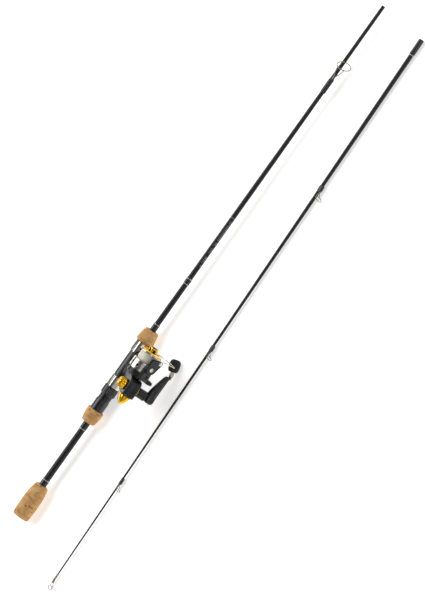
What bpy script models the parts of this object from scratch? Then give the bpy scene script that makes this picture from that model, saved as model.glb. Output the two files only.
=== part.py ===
"""A two-piece spinning rod with its reel, taken apart and laid on the ground.

Lengths are millimetres until a mesh is finished. The butt section, with the reel, is
modelled in the rod frame: x runs along the rod from its butt end, y points from the
rod to the reel, and z points to the crank's side. The tip section is modelled in its
own frame: x runs from its ferrule end to its tip, and y points to its line guides.
"""
import math

import bmesh
import bpy
from mathutils import Matrix, Vector

MM = 0.001
GAP = 0.3
WRAP_GAP = 0.12
SEGMENTS = 18

# Lay-down: how the two sections lie on the ground plane.
BUTT_TILT_DEG = 35.0
ROD_AXIS_HEIGHT = 12.78
CENTRE_X = 395.33
CENTRE_Y = -46.87
FERRULE_END = (836.35, -78.37, 4.1)
TIP_END = (-48.03, -102.03, 3.35)
TIP_ROLL_DEG = 12.0

# Butt section.
BUTT_LENGTH = 838.5
BLANK_OUTLINE = ((2.0, 4.75), (150.0, 4.45), (310.0, 4.0), (415.0, 3.55),
                 (550.0, 3.35), (660.0, 3.0), (740.0, 2.7), (BUTT_LENGTH, 2.48))
BLANK_BORE_RATIO = 0.7
BUTT_GRIP_END = 51.6
REAR_GRIP = (156.3, 176.1)
SEAT = (176.4, 287.1)
SEAT_RADIUS = 9.3
SEAT_BARREL_RADIUS = 9.5
SEAT_THREAD_RADIUS = 8.8
SEAT_BORE = 7.6
FORE_GRIP = (287.4, 306.2)
SLIDING_HOOD = (214.6, 230.4)
LOCK_NUT = (201.0, 214.3)
FIXED_HOOD = (270.0, 286.8)
STRIPPER_WRAP = (698.0, 720.0)
STRIPPER_RING_X = 744.0
LEG_SHARE = 0.88

# Tip section.
TIP_LENGTH = 884.7
TIP_OUTLINE = ((0.0, 3.25), (249.0, 2.55), (498.5, 1.9), (718.0, 1.3), (873.2, 0.95))
SOCKET_RADIUS = 2.62
SOCKET_DEPTH = 52.0

# Reel: stations along x, and offsets from the spool's axis.
SPOOL_AXIS = 56.5
CRANK_X = 236.2
CRANK_OFFSET = 5.0
CRANK_TURN_DEG = 15.0
CRANK_REACH = 42.2
PIN_Z = 42.0
KNOB_FOLD_DEG = 12.0
PIVOT_X = 273.0
NEAR_ARM_DEG = 17.0
BAIL_TIP = (13.0, 7.0)
HOLDER_TIP = (9.0, 5.0)
HOUSING_Z = (-6.3, 5.5)
COVER_Z = (5.8, 11.0)
SHAFT_RADIUS = 1.8
DRIVE_SHAFT_RADIUS = 2.5
DRIVE_TEETH = 42
PINION_TEETH = 8

COLOURS = {
    "carbon": ((0.045, 0.045, 0.05), 0.5, 0.0),
    "cork": ((0.62, 0.42, 0.23), 0.85, 0.0),
    "wrap": ((0.012, 0.012, 0.015), 0.2, 0.0),
    "graphite": ((0.06, 0.065, 0.08), 0.4, 0.0),
    "chrome": ((0.75, 0.75, 0.76), 0.15, 1.0),
    "steel": ((0.6, 0.6, 0.6), 0.3, 1.0),
    "gold": ((0.8, 0.55, 0.06), 0.2, 1.0),
    "brass": ((0.7, 0.52, 0.25), 0.35, 1.0),
    "line": ((0.8, 0.8, 0.74), 0.4, 0.0),
    "rubber": ((0.02, 0.021, 0.025), 0.6, 0.0),
}


# ---------------------------------------------------------------- scene set-up

def clear_scene():
    """Remove every object, so that the model starts empty."""
    for old in list(bpy.data.objects):
        bpy.data.objects.remove(old, do_unlink=True)


def material(node_name, finish):
    """Return a node's own Principled material."""
    colour, roughness, metallic = COLOURS[finish]
    made = bpy.data.materials.new(node_name)
    made.use_nodes = True
    shader = made.node_tree.nodes["Principled BSDF"]
    shader.inputs["Base Color"].default_value = (*colour, 1.0)
    shader.inputs["Roughness"].default_value = roughness
    shader.inputs["Metallic"].default_value = metallic
    return made


class Body:
    """An empty on a joint's axis. Its pieces are modelled in the section's frame."""

    def __init__(self, name, section, pivot=(0.0, 0.0, 0.0)):
        self.pivot = Vector(pivot)
        self.empty = bpy.data.objects.new(name, None)
        bpy.context.collection.objects.link(self.empty)
        self.empty.parent = section
        self.empty.location = self.pivot * MM

    def piece(self, name, shape, finish):
        """Turn a bmesh in millimetres into this body's named object."""
        face_outwards(shape)
        bmesh.ops.translate(shape, verts=shape.verts[:], vec=-self.pivot)
        bmesh.ops.scale(shape, verts=shape.verts[:], vec=(MM, MM, MM))
        mesh = bpy.data.meshes.new(name)
        shape.to_mesh(mesh)
        shape.free()
        mesh.shade_smooth()
        mesh.set_sharp_from_angle(angle=math.radians(35.0))
        mesh.materials.append(material(name, finish))
        made = bpy.data.objects.new(name, mesh)
        bpy.context.collection.objects.link(made)
        made.parent = self.empty
        return made


def section_empty(name, matrix):
    """Make the empty that lays one rod section down."""
    made = bpy.data.objects.new(name, None)
    bpy.context.collection.objects.link(made)
    made.matrix_world = matrix
    return made


# ------------------------------------------------------------- shape functions

def axis_frame(origin, axis, side):
    """Matrix whose x runs along axis and whose y is side, squared to it."""
    x = Vector(axis).normalized()
    y = (Vector(side) - x * x.dot(Vector(side))).normalized()
    z = x.cross(y)
    matrix = Matrix((x, y, z)).transposed().to_4x4()
    matrix.translation = Vector(origin)
    return matrix


def face_outwards(shape):
    """Turn a closed shape's faces outwards."""
    bmesh.ops.recalc_face_normals(shape, faces=shape.faces[:])
    if shape.calc_volume(signed=True) < 0.0:
        bmesh.ops.reverse_faces(shape, faces=shape.faces[:])


def turned(profile, frame=None, segments=SEGMENTS, hollow=True):
    """Spin a profile of (along, radius) points about the frame's x axis.

    A hollow profile is a closed outline clear of the axis. One that isn't hollow
    starts and ends on the axis.
    """
    shape = bmesh.new()
    verts = [shape.verts.new((along, radius, 0.0)) for along, radius in profile]
    pairs = list(zip(verts, verts[1:]))
    if hollow:
        pairs.append((verts[-1], verts[0]))
    edges = [shape.edges.new(pair) for pair in pairs]
    bmesh.ops.spin(shape, geom=verts + edges, cent=(0, 0, 0), axis=(1, 0, 0),
                   angle=2.0 * math.pi, steps=segments, use_merge=True)
    bmesh.ops.remove_doubles(shape, verts=shape.verts[:], dist=0.0005)
    shape.transform(frame or Matrix())
    return shape


def rod_solid(start, end, radius, frame, segments=16):
    """A plain cylinder along the frame's x axis."""
    return turned(((start, 0.0), (start, radius), (end, radius), (end, 0.0)),
                  frame, segments, hollow=False)


def ring_solid(start, end, inner, outer, frame=None, segments=SEGMENTS, chamfer=0.0):
    """A round sleeve with its outer edges chamfered."""
    profile = [(start, inner), (start, outer - chamfer), (start + chamfer, outer),
               (end - chamfer, outer), (end, outer - chamfer), (end, inner)]
    if chamfer == 0.0:
        profile = [profile[0], (start, outer), (end, outer), profile[-1]]
    return turned(profile, frame, segments)


def add_tube_faces(shape, rings, closed):
    """Join successive rings of vertices with quads."""
    pairs = list(zip(rings, rings[1:]))
    if closed:
        pairs.append((rings[-1], rings[0]))
    for first, second in pairs:
        count = len(first)
        for index in range(count):
            after = (index + 1) % count
            shape.faces.new((first[index], first[after], second[after], second[index]))


def lofted(sections, frame=None):
    """Join closed sections, each a list of points, and cap both ends."""
    shape = bmesh.new()
    rings = [[shape.verts.new(point) for point in section] for section in sections]
    add_tube_faces(shape, rings, closed=False)
    shape.faces.new(rings[0])
    shape.faces.new(rings[-1][::-1])
    shape.transform(frame or Matrix())
    return shape


def sleeve(sections, frame=None):
    """Join (outer, inner) pairs of closed sections into a sleeve with open ends."""
    outers = [outer for outer, _ in sections]
    inners = [inner for _, inner in reversed(sections)]
    shape = bmesh.new()
    rings = [[shape.verts.new(point) for point in ring] for ring in outers + inners]
    add_tube_faces(shape, rings, closed=True)
    shape.transform(frame or Matrix())
    return shape


def polar_ring(along, radius_at, count=SEGMENTS):
    """Points of one section across x, with a radius for each angle from y."""
    points = []
    for index in range(count):
        angle = 2.0 * math.pi * index / count
        radius = radius_at(angle)
        points.append((along, radius * math.cos(angle), radius * math.sin(angle)))
    return points


def lobes(radius, depth, number):
    """A radius that dips by depth between a number of round lobes."""
    return lambda angle: radius - depth * (0.5 - 0.5 * math.cos(number * angle))


def bump(base, height, flat_deg, foot_deg):
    """A radius that rises by height round angle zero and falls off to base."""
    def radius_at(angle):
        away = abs(math.degrees(math.atan2(math.sin(angle), math.cos(angle))))
        share = (foot_deg - away) / (foot_deg - flat_deg)
        return base + height * min(1.0, max(0.0, share))
    return radius_at


def oval(centre, half_a, half_b, axes, power=2.5, count=SEGMENTS):
    """A superellipse round centre, spanned by the two axes."""
    points = []
    for index in range(count):
        angle = 2.0 * math.pi * index / count
        cosine, sine = math.cos(angle), math.sin(angle)
        reach_a = half_a * math.copysign(abs(cosine) ** (2.0 / power), cosine)
        reach_b = half_b * math.copysign(abs(sine) ** (2.0 / power), sine)
        points.append(Vector(centre) + Vector(axes[0]) * reach_a + Vector(axes[1]) * reach_b)
    return points


def swept(path, radius, sides=8):
    """A round wire of constant radius along an open path."""
    points = [Vector(point) for point in path]
    tangents = []
    for index in range(len(points)):
        before = points[max(index - 1, 0)]
        after = points[min(index + 1, len(points) - 1)]
        tangents.append((after - before).normalized())
    side = tangents[0].orthogonal().normalized()
    sections = []
    for point, tangent in zip(points, tangents):
        side = (side - tangent * side.dot(tangent)).normalized()
        other = tangent.cross(side)
        sections.append(oval(point, radius, radius, (side, other), 2.0, sides))
    return lofted(sections)


def smooth_path(knots, steps=4):
    """Catmull-Rom points through the knots."""
    points = [Vector(knot) for knot in knots]
    ends = [points[0] * 2 - points[1]] + points + [points[-1] * 2 - points[-2]]
    path = []
    for before, start, end, after in zip(ends, ends[1:], ends[2:], ends[3:]):
        for step in range(steps):
            t = step / steps
            path.append(0.5 * (start * 2 + (end - before) * t
                               + (before * 2 - start * 5 + end * 4 - after) * t ** 2
                               + (start * 3 - before - end * 3 + after) * t ** 3))
    path.append(points[-1])
    return path


def torus(ring_radius, wire_radius, frame, around=20, sides=6):
    """A wire ring whose axis is the frame's x axis."""
    profile = []
    for index in range(sides):
        angle = 2.0 * math.pi * index / sides
        profile.append((wire_radius * math.sin(angle), ring_radius + wire_radius * math.cos(angle)))
    return turned(profile, frame, around)


def combined(base, tools, operation):
    """Join tools to base, or cut them from it, one after another."""
    result = base
    for tool in tools:
        objects = []
        for label, shape in (("base", result), ("tool", tool)):
            face_outwards(shape)
            mesh = bpy.data.meshes.new(label)
            shape.to_mesh(mesh)
            shape.free()
            objects.append(bpy.data.objects.new(label, mesh))
            bpy.context.collection.objects.link(objects[-1])
        modifier = objects[0].modifiers.new("cut", "BOOLEAN")
        modifier.operation = operation
        modifier.object = objects[1]
        modifier.solver = "EXACT"
        bpy.context.view_layer.update()
        evaluated = objects[0].evaluated_get(bpy.context.evaluated_depsgraph_get())
        result = bmesh.new()
        result.from_mesh(evaluated.to_mesh())
        evaluated.to_mesh_clear()
        bmesh.ops.remove_doubles(result, verts=result.verts[:], dist=0.002)
        bmesh.ops.dissolve_degenerate(result, edges=result.edges[:], dist=0.002)
        for spent in objects:
            bpy.data.objects.remove(spent, do_unlink=True)
    return result


def outline_radius(outline, along):
    """Radius of a tapered outline at a station."""
    for (start, first), (end, second) in zip(outline, outline[1:]):
        if along <= end:
            share = max(0.0, (along - start) / (end - start))
            return first + (second - first) * share
    return outline[-1][1]


# ------------------------------------------------------------------ rod pieces

def add_blank(body):
    """The hollow carbon blank of the butt section, and the plug in its end."""
    bore = [(along, radius * BLANK_BORE_RATIO) for along, radius in reversed(BLANK_OUTLINE)]
    body.piece("butt_blank", turned(list(BLANK_OUTLINE) + bore), "carbon")
    body.piece("butt_plug", rod_solid(0.2, 1.7, 4.9, Matrix(), SEGMENTS), "rubber")


def add_grips(body):
    """Three cork grips, each bored to fit the tapered blank."""
    bore = outline_radius(BLANK_OUTLINE, 0.0) + GAP
    butt_end = BUTT_GRIP_END
    body.piece("butt_grip", turned((
        (0.0, bore), (0.0, 10.9), (0.8, 11.7), (8.0, 12.15), (18.0, 12.5), (28.0, 12.6),
        (36.0, 12.1), (44.0, 10.9), (butt_end - 3.0, 9.9), (butt_end - 1.2, 9.3),
        (butt_end, 8.0), (butt_end, bore))), "cork")
    start, end = REAR_GRIP
    body.piece("rear_grip", turned((
        (start, bore), (start, 8.8), (start + 1.0, 9.8), (start + 7.0, 11.2),
        (start + 14.0, 11.9), (end - 0.8, 12.0), (end, 11.4), (end, bore))), "cork")
    start, end = FORE_GRIP
    body.piece("fore_grip", turned((
        (start, bore), (start, 12.2), (start + 0.8, 12.8), (start + 6.0, 12.3),
        (end - 5.0, 11.0), (end - 1.0, 10.2), (end, 9.2), (end, bore))), "cork")


def add_thread_wrap(body, name, start, end, outline=BLANK_OUTLINE, trims=()):
    """A thread wrap with a raised metallic trim ring at each trim station."""
    thickness, trim_rise, trim_half = 0.4, 0.12, 0.5
    inner = outline_radius(outline, start) + WRAP_GAP
    profile = [(start, inner), (start, inner + thickness)]
    for trim in trims:
        for offset, rise in ((-trim_half, 0.0), (-trim_half, trim_rise),
                             (trim_half, trim_rise), (trim_half, 0.0)):
            profile.append((trim + offset, inner + thickness + rise))
    profile += [(end, inner + thickness), (end, inner)]
    body.piece(name, turned(profile), "wrap")


def add_wraps(body):
    """The butt section's thread wraps."""
    add_thread_wrap(body, "butt_wrap", BUTT_GRIP_END + GAP, 61.5, trims=(60.3,))
    add_thread_wrap(body, "rear_wrap", 143.8, REAR_GRIP[0] - GAP, trims=(144.9,))
    add_thread_wrap(body, "fore_wrap", FORE_GRIP[1] + GAP, 317.8, trims=(316.8,))
    add_thread_wrap(body, "ornament_wrap", 383.0, 393.0, trims=(384.0, 392.0))


def add_reel_seat(body):
    """The seat's tube on its arbor, with a threaded stretch under the nut."""
    start, end = SEAT
    thread_start, thread_end = 191.5, 232.5
    body.piece("seat_arbor", ring_solid(start + 2.0, end - 2.0, 4.45 + GAP, SEAT_BORE - WRAP_GAP),
               "rubber")
    body.piece("reel_seat", turned((
        (start, SEAT_BORE), (start, SEAT_BARREL_RADIUS), (thread_start, SEAT_BARREL_RADIUS),
        (thread_start + 0.5, SEAT_THREAD_RADIUS), (thread_end, SEAT_THREAD_RADIUS),
        (thread_end + 0.5, SEAT_RADIUS), (end, SEAT_RADIUS), (end, SEAT_BORE))), "graphite")


def hood(start, end, inner, outer):
    """A hood: a sleeve that bulges over the reel's foot, with a pocket for it."""
    rise, lip = 2.5, 0.7
    sections = []
    for along, drop in ((start, lip), (start + lip, 0.0), (end - lip, 0.0), (end, lip * 0.5)):
        outline = polar_ring(along, bump(outer - drop, rise, 40.0, 62.0), 28)
        pocket = polar_ring(along, bump(inner, rise, 37.0, 52.0), 28)
        sections.append((outline, pocket))
    return sleeve(sections)


def add_hoods(body, slider, nut):
    """The fixed hood, the sliding hood and the nut that drives it."""
    body.piece("fixed_hood", hood(*FIXED_HOOD, SEAT_RADIUS + GAP, 11.0), "chrome")
    slider.piece("sliding_hood", hood(*SLIDING_HOOD, SEAT_RADIUS + 0.2, 10.3), "chrome")
    start, end = LOCK_NUT
    ribs = [(start, 0.6), (start + 1.0, 0.0), (end - 1.0, 0.0), (end, 0.6)]
    sections = []
    for along, drop in ribs:
        ribbed = polar_ring(along, lobes(10.5 - drop, 0.5, 18), 36)
        bored = polar_ring(along, lambda _: SEAT_BARREL_RADIUS + 0.15, 36)
        sections.append((ribbed, bored))
    nut.piece("lock_nut", sleeve(sections), "graphite")


def guide_shape(ring_x, ring_radius, wire, offset, lean_deg, foot, blank_radius, tip_side=1.0):
    """A wire ring on two legs that meet in a hairpin foot on the blank."""
    lean = math.radians(lean_deg)
    across = Vector((tip_side * math.sin(lean), math.cos(lean), 0.0))
    axis = Vector((math.cos(lean), -tip_side * math.sin(lean), 0.0))
    centre = Vector((ring_x, offset, 0.0))
    ring = torus(ring_radius, wire, axis_frame(centre, axis, across))
    join = math.radians(32.0)
    foot_y = blank_radius + wire + 0.15
    foot_z = wire * 1.35
    foot_start, foot_end = foot
    legs = []
    for hand in (1.0, -1.0):
        top = centre - across * (ring_radius * math.cos(join))
        top += Vector((0.0, 0.0, hand * ring_radius * math.sin(join)))
        bend = Vector((foot_end, foot_y, hand * foot_z))
        middle = bend.lerp(top, 0.5) + Vector((0.0, 0.0, hand * wire))
        legs.append([top, middle, bend, Vector((foot_start + 2.0, foot_y, hand * foot_z))])
    hairpin = legs[0] + [Vector((foot_start, foot_y, 0.0))] + legs[1][::-1]
    wire_frame = swept(smooth_path(hairpin, 3), wire * LEG_SHARE, 6)
    return combined(ring, [wire_frame], "UNION")


def guide_wrap(start, end, blank_radius, wire):
    """A thread wrap that bulges over a guide's foot."""
    inner = blank_radius + WRAP_GAP
    rise = 2.0 * wire + 0.35
    spread = math.degrees(math.atan2(2.4 * wire, blank_radius + wire)) + 6.0
    sections = []
    for along, thickness in ((start, 0.3), (start + 0.6, 0.45), (end - 0.6, 0.45), (end, 0.3)):
        outline = polar_ring(along, bump(inner + thickness, rise, spread, spread + 26.0), 20)
        hollow = polar_ring(along, bump(inner, rise, spread, spread + 18.0), 20)
        sections.append((outline, hollow))
    return sleeve(sections)


def add_stripper_guide(body):
    """The large first guide, on the butt section."""
    start, end = STRIPPER_WRAP
    wire = 0.65
    radius = outline_radius(BLANK_OUTLINE, start)
    body.piece("stripper_wrap", guide_wrap(start, end, radius, wire), "wrap")
    body.piece("stripper_guide", guide_shape(STRIPPER_RING_X, 9.7, wire, 11.8, 43.0,
                                             (start + 3.0, end + 3.0), radius), "steel")


# ----------------------------------------------------------------- tip section

def tip_blank_shape():
    """The tapering blank, with the ferrule's socket bored in its wide end."""
    profile = [(SOCKET_DEPTH, 0.0), (SOCKET_DEPTH, SOCKET_RADIUS), (0.0, SOCKET_RADIUS)]
    profile += list(TIP_OUTLINE)
    profile.append((TIP_OUTLINE[-1][0], 0.0))
    return turned(profile, segments=20, hollow=False)


def add_tip_section(body):
    """The tip section's blank, ferrule wrap and three guides."""
    body.piece("tip_blank", tip_blank_shape(), "carbon")
    add_thread_wrap(body, "ferrule_wrap", 0.4, 25.0, TIP_OUTLINE, trims=(24.0,))
    guides = ((251.2, 5.0, 0.5, 8.6), (508.4, 4.0, 0.45, 6.9), (722.7, 3.1, 0.42, 5.6))
    for number, (ring_x, ring_radius, wire, offset) in enumerate(guides, 1):
        start, end = ring_x - 17.0, ring_x - 5.5 - ring_radius * 0.6
        radius = outline_radius(TIP_OUTLINE, start)
        body.piece(f"guide_wrap_{number}", guide_wrap(start, end, radius, wire), "wrap")
        body.piece(f"guide_{number}", guide_shape(ring_x, ring_radius, wire, offset, 24.0,
                                                  (start + 1.5, end + 1.5), radius), "steel")


def add_tip_top(body):
    """The tube glued over the tip, and the wire loop soldered to it."""
    start, end = 861.2, 874.9
    bore, outer, wall = 1.15, 1.5, 1.2
    body.piece("tip_top_tube", turned((
        (end - wall, 0.0), (end - wall, bore), (start, bore), (start, outer),
        (end - 0.3, outer), (end, bore), (end, 0.0)), segments=16, hollow=False), "steel")
    wire, loop_radius = 0.45, 3.3
    lean = math.radians(50.0)
    across = Vector((math.sin(lean), math.cos(lean), 0.0))
    axis = Vector((math.cos(lean), -math.sin(lean), 0.0))
    centre = Vector((TIP_LENGTH - loop_radius * math.sin(lean) - wire, 1.9, 0.0))
    body.piece("tip_top_loop", torus(loop_radius, wire, axis_frame(centre, axis, across), 18),
               "steel")


# ------------------------------------------------------------------------ reel

def crank_frame(height=0.0):
    """Frame whose x is the crank's axis, pointing away from the gearbox."""
    return axis_frame((CRANK_X, SPOOL_AXIS + CRANK_OFFSET, height), (0, 0, 1), (1, 0, 0))


def spool_frame():
    """Frame whose x is the spool's axis, in the rod's own directions."""
    return Matrix.Translation((0.0, SPOOL_AXIS, 0.0))


def arm_frame(turn_deg):
    """Spool frame turned about its axis, so that y points along a rotor arm."""
    return spool_frame() @ Matrix.Rotation(math.radians(turn_deg), 4, "X")


def pivot_frame(turn_deg):
    """Frame at the bail's pivot: x forwards, y out along the pivot, z round the spool."""
    return arm_frame(turn_deg) @ Matrix.Translation((PIVOT_X, 0.0, 0.0))


def housing_outline(height, shrink, count=40):
    """The gearbox's side outline: a rounded box with a flat back."""
    centre = (235.5, SPOOL_AXIS + 3.5, height)
    back = 224.0 + shrink
    points = oval(centre, 15.0 - shrink, 15.5 - shrink, ((1, 0, 0), (0, 1, 0)), 3.0, count)
    for point in points:
        point.x = max(point.x, back)
    return points


def open_case(floor, inner_floor, rim, shrink):
    """A case with the gearbox's outline, closed at floor and open at rim."""
    shape = bmesh.new()
    outlines = (housing_outline(floor, 0.0), housing_outline(rim, 0.0),
                housing_outline(rim, shrink), housing_outline(inner_floor, shrink))
    rings = [[shape.verts.new(point) for point in outline] for outline in outlines]
    add_tube_faces(shape, rings, closed=False)
    shape.faces.new(rings[0])
    shape.faces.new(rings[-1][::-1])
    return shape


def foot_and_stem():
    """The saddle that the hoods clamp, and the stem down to the gearbox."""
    inner = SEAT_RADIUS + 0.35
    sections = []
    for along, half_deg, thickness in ((219.5, 20.0, 1.2), (225.0, 29.0, 1.6), (234.0, 34.0, 2.2),
                                       (242.0, 34.0, 3.0), (262.0, 34.0, 3.0), (269.0, 34.0, 2.1),
                                       (278.0, 29.0, 1.6), (283.5, 20.0, 1.2)):
        section = []
        for radius, hand in ((inner, 1.0), (inner + thickness, -1.0)):
            for step in range(9):
                angle = math.radians(half_deg) * hand * (step / 4.0 - 1.0)
                section.append((along, radius * math.cos(angle), radius * math.sin(angle)))
        sections.append(section)
    foot = lofted(sections)
    stem_sections = []
    for height, back, front, half in ((11.2, 236.0, 267.0, 4.6), (14.5, 238.0, 262.0, 3.6),
                                      (22.0, 237.0, 257.0, 3.2), (32.0, 234.0, 248.5, 3.4),
                                      (40.0, 230.0, 248.5, 4.4), (47.5, 227.0, 249.0, 5.2)):
        centre = ((back + front) / 2.0, height, 0.0)
        stem_sections.append(oval(centre, (front - back) / 2.0, half, ((1, 0, 0), (0, 0, 1)), 2.6, 24))
    return foot, lofted(stem_sections)


def add_gearbox(body):
    """The cast body with its foot, the side cover, the rear cover and the bearings."""
    wall = 1.8
    low, seam = HOUSING_Z
    foot, stem = foot_and_stem()
    collar = turned(((248.0, 0.0), (248.0, 5.4), (250.8, 5.4), (250.8, 7.4), (252.3, 7.4),
                     (252.3, 0.0)), spool_frame(), 24, False)
    case = combined(open_case(low, low + wall, seam, wall), [stem, foot, collar], "UNION")
    pinion_hole = rod_solid(244.0, 256.0, 5.1, spool_frame(), 24)
    shaft_hole = rod_solid(low - 3.0, low + 4.0, 4.1, crank_frame(), 24)
    body.piece("reel_body", combined(case, [pinion_hole, shaft_hole], "DIFFERENCE"), "graphite")
    cover_seam, top = COVER_Z
    boss = rod_solid(top - 1.5, top + 0.8, 7.6, crank_frame(), SEGMENTS)
    cover = combined(open_case(top, top - wall, cover_seam, wall), [boss], "UNION")
    hole = rod_solid(top - 5.0, top + 5.0, 5.1, crank_frame(), 24)
    body.piece("side_cover", combined(cover, [hole], "DIFFERENCE"), "graphite")
    body.piece("rear_cover", rear_cover_shape(), "gold")
    body.piece("shaft_bearing_left", ring_solid(low + 0.2, low + 1.8, DRIVE_SHAFT_RADIUS + 0.1,
                                                3.9, crank_frame(), 20), "steel")
    body.piece("shaft_bearing_right", ring_solid(top - 1.6, top + 0.6, DRIVE_SHAFT_RADIUS + 0.1,
                                                 4.9, crank_frame(), 20), "steel")
    body.piece("pinion_bearing", ring_solid(248.8, 251.8, 3.0, 4.9, spool_frame(), 20), "steel")


def rear_cover_shape():
    """The tapering cover on the gearbox's flat back."""
    middle_y, middle_z = SPOOL_AXIS + 3.5, 2.4
    sections = []
    for along, half_y, half_z in ((223.7, 12.4, 7.9), (219.0, 11.4, 6.9), (215.0, 9.2, 5.2),
                                  (212.0, 6.6, 3.4), (210.4, 4.2, 2.0), (209.8, 2.6, 1.2)):
        sections.append(oval((along, middle_y, middle_z), half_y, half_z,
                             ((0, 1, 0), (0, 0, 1)), 2.3, 24))
    return lofted(sections)


def add_crank(body):
    """Everything that turns with the crank, from its screw cap to the knob's pin."""
    low, top = HOUSING_Z[0], COVER_Z[1]
    frame = crank_frame()
    cap_sections = []
    for along, radius, depth in ((-17.1, 5.6, 0.8), (-16.2, 7.0, 1.3), (-9.0, 7.2, 1.3),
                                 (-8.6, 8.0, 0.0), (-7.0, 8.0, 0.0), (low - GAP, 7.4, 0.0)):
        cap_sections.append(polar_ring(along, lobes(radius, depth, 9), 36))
    body.piece("crank_cap", lofted(cap_sections, frame), "gold")
    body.piece("drive_shaft", rod_solid(low + 0.1, 26.4, DRIVE_SHAFT_RADIUS, frame, 20), "steel")
    gear_sections = []
    for along in (4.0, 6.8):
        toothed = polar_ring(along, lobes(10.4, 0.9, DRIVE_TEETH), DRIVE_TEETH * 2)
        bored = polar_ring(along, lambda _: DRIVE_SHAFT_RADIUS + 0.1, DRIVE_TEETH * 2)
        gear_sections.append((toothed, bored))
    body.piece("drive_gear", sleeve(gear_sections, frame), "brass")
    bore = DRIVE_SHAFT_RADIUS + 0.1
    body.piece("crank_collar", ring_solid(top + 1.1, top + 2.4, bore, 6.7, frame, 24, 0.3), "gold")
    body.piece("crank_sleeve", turned((
        (top + 2.7, bore), (top + 2.7, 6.2), (top + 3.6, 6.8), (20.0, 6.9), (25.6, 7.1),
        (26.4, 6.7), (26.4, bore)), frame, 24), "graphite")
    body.piece("crank_arm", crank_arm_shape(), "graphite")
    body.piece("knob_pin", rod_solid(-4.3, 4.3, 1.2, pin_frame(), 14), "steel")


def reach_frame():
    """Frame at the crank's axis: x along the arm, y across it, z the crank's axis."""
    turn = math.radians(CRANK_TURN_DEG)
    return axis_frame((CRANK_X, SPOOL_AXIS + CRANK_OFFSET, 0.0),
                      (math.cos(turn), -math.sin(turn), 0), (math.sin(turn), math.cos(turn), 0))


def pin_frame():
    """Frame at the knob's pin, with x along the pin."""
    reach = reach_frame()
    origin = reach @ Vector((CRANK_REACH, 0.0, PIN_Z))
    return axis_frame(origin, reach.to_3x3() @ Vector((0, 1, 0)), reach.to_3x3() @ Vector((1, 0, 0)))


def knob_frame():
    """Frame at the knob's pin: x along the spindle, y along the pin."""
    reach = reach_frame()
    fold = math.radians(KNOB_FOLD_DEG)
    along = reach.to_3x3() @ Vector((math.cos(fold), 0.0, -math.sin(fold)))
    return axis_frame(reach @ Vector((CRANK_REACH, 0.0, PIN_Z)), along,
                      reach.to_3x3() @ Vector((0, 1, 0)))


def crank_arm_shape():
    """A tapering arm with a thick root and a drilled tongue at its end."""
    sections = []
    for along, half, low, high in ((-6.6, 2.6, 30.0, 36.6), (-5.4, 4.8, 28.0, 38.8),
                                   (-2.0, 6.2, 26.8, 39.8), (3.5, 6.2, 26.7, 40.0),
                                   (8.0, 5.6, 26.8, 40.2), (13.0, 5.1, 27.8, 40.6),
                                   (20.0, 4.6, 29.8, 41.2), (33.0, 3.9, 33.8, 42.4),
                                   (37.6, 3.3, 35.8, 43.0), (38.6, 2.4, 37.0, 42.8)):
        centre = (along, 0.0, (low + high) / 2.0)
        sections.append(oval(centre, half, (high - low) / 2.0, ((0, 1, 0), (0, 0, 1)), 3.0, 20))
    arm = lofted(sections, reach_frame())
    tongue_half = 1.5
    pin = pin_frame()
    eye = rod_solid(-tongue_half, tongue_half, 2.4, pin, 20)
    tongue = lofted([oval((along, 0.0, PIN_Z), tongue_half, 2.2, ((0, 1, 0), (0, 0, 1)), 6.0, 16)
                     for along in (36.0, CRANK_REACH)], reach_frame())
    hole = rod_solid(-6.0, 6.0, 1.3, pin, 16)
    return combined(combined(arm, [tongue, eye], "UNION"), [hole], "DIFFERENCE")


def add_knob(yoke_body, knob_body):
    """The yoke that folds on the pin, and the knob that spins on its spindle."""
    frame = knob_frame()
    pin = pin_frame()
    cheeks = []
    for inner, outer in ((-3.5, -1.8), (1.8, 3.5)):
        cheeks.append(rod_solid(inner, outer, 2.3, pin, 18))
        middle = (inner + outer) / 2.0
        cheeks.append(lofted([oval((along, middle, 0.0), (outer - inner) / 2.0, 2.1,
                                   ((0, 1, 0), (0, 0, 1)), 6.0, 16)
                              for along in (0.0, 4.2)], frame))
    bridge = lofted([oval((along, 0.0, 0.0), 3.4, 2.2, ((0, 1, 0), (0, 0, 1)), 5.0, 20)
                     for along in (3.0, 4.6)], frame)
    spindle = rod_solid(4.0, 19.0, 1.6, frame, 16)
    yoke = combined(bridge, cheeks + [spindle], "UNION")
    yoke = combined(yoke, [rod_solid(-6.0, 6.0, 1.3, pin, 16)], "DIFFERENCE")
    yoke_body.piece("knob_yoke", yoke, "steel")
    sections = []
    for along, half_y, half_z in ((5.0, 3.6, 4.6), (6.4, 4.8, 6.4), (9.5, 5.4, 7.5),
                                  (14.0, 5.6, 7.8), (18.0, 5.4, 7.5), (21.0, 4.5, 6.3),
                                  (22.4, 2.8, 4.0)):
        sections.append(oval((along, 0.0, 0.0), half_y, half_z, ((0, 1, 0), (0, 0, 1)), 2.4, 24))
    bore = rod_solid(3.0, 19.5, 1.75, frame, 16)
    knob_body.piece("knob_grip", combined(lofted(sections, frame), [bore], "DIFFERENCE"), "rubber")


def sector(along, inner, outer, half_deg, middle_deg=0.0, steps=8):
    """A section of a ring between two radii, centred on an angle."""
    points = []
    for radius, hand in ((inner, 1.0), (outer, -1.0)):
        for step in range(steps + 1):
            angle = math.radians(middle_deg + half_deg * hand * (2.0 * step / steps - 1.0))
            points.append((along, radius * math.cos(angle), radius * math.sin(angle)))
    return points


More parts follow.
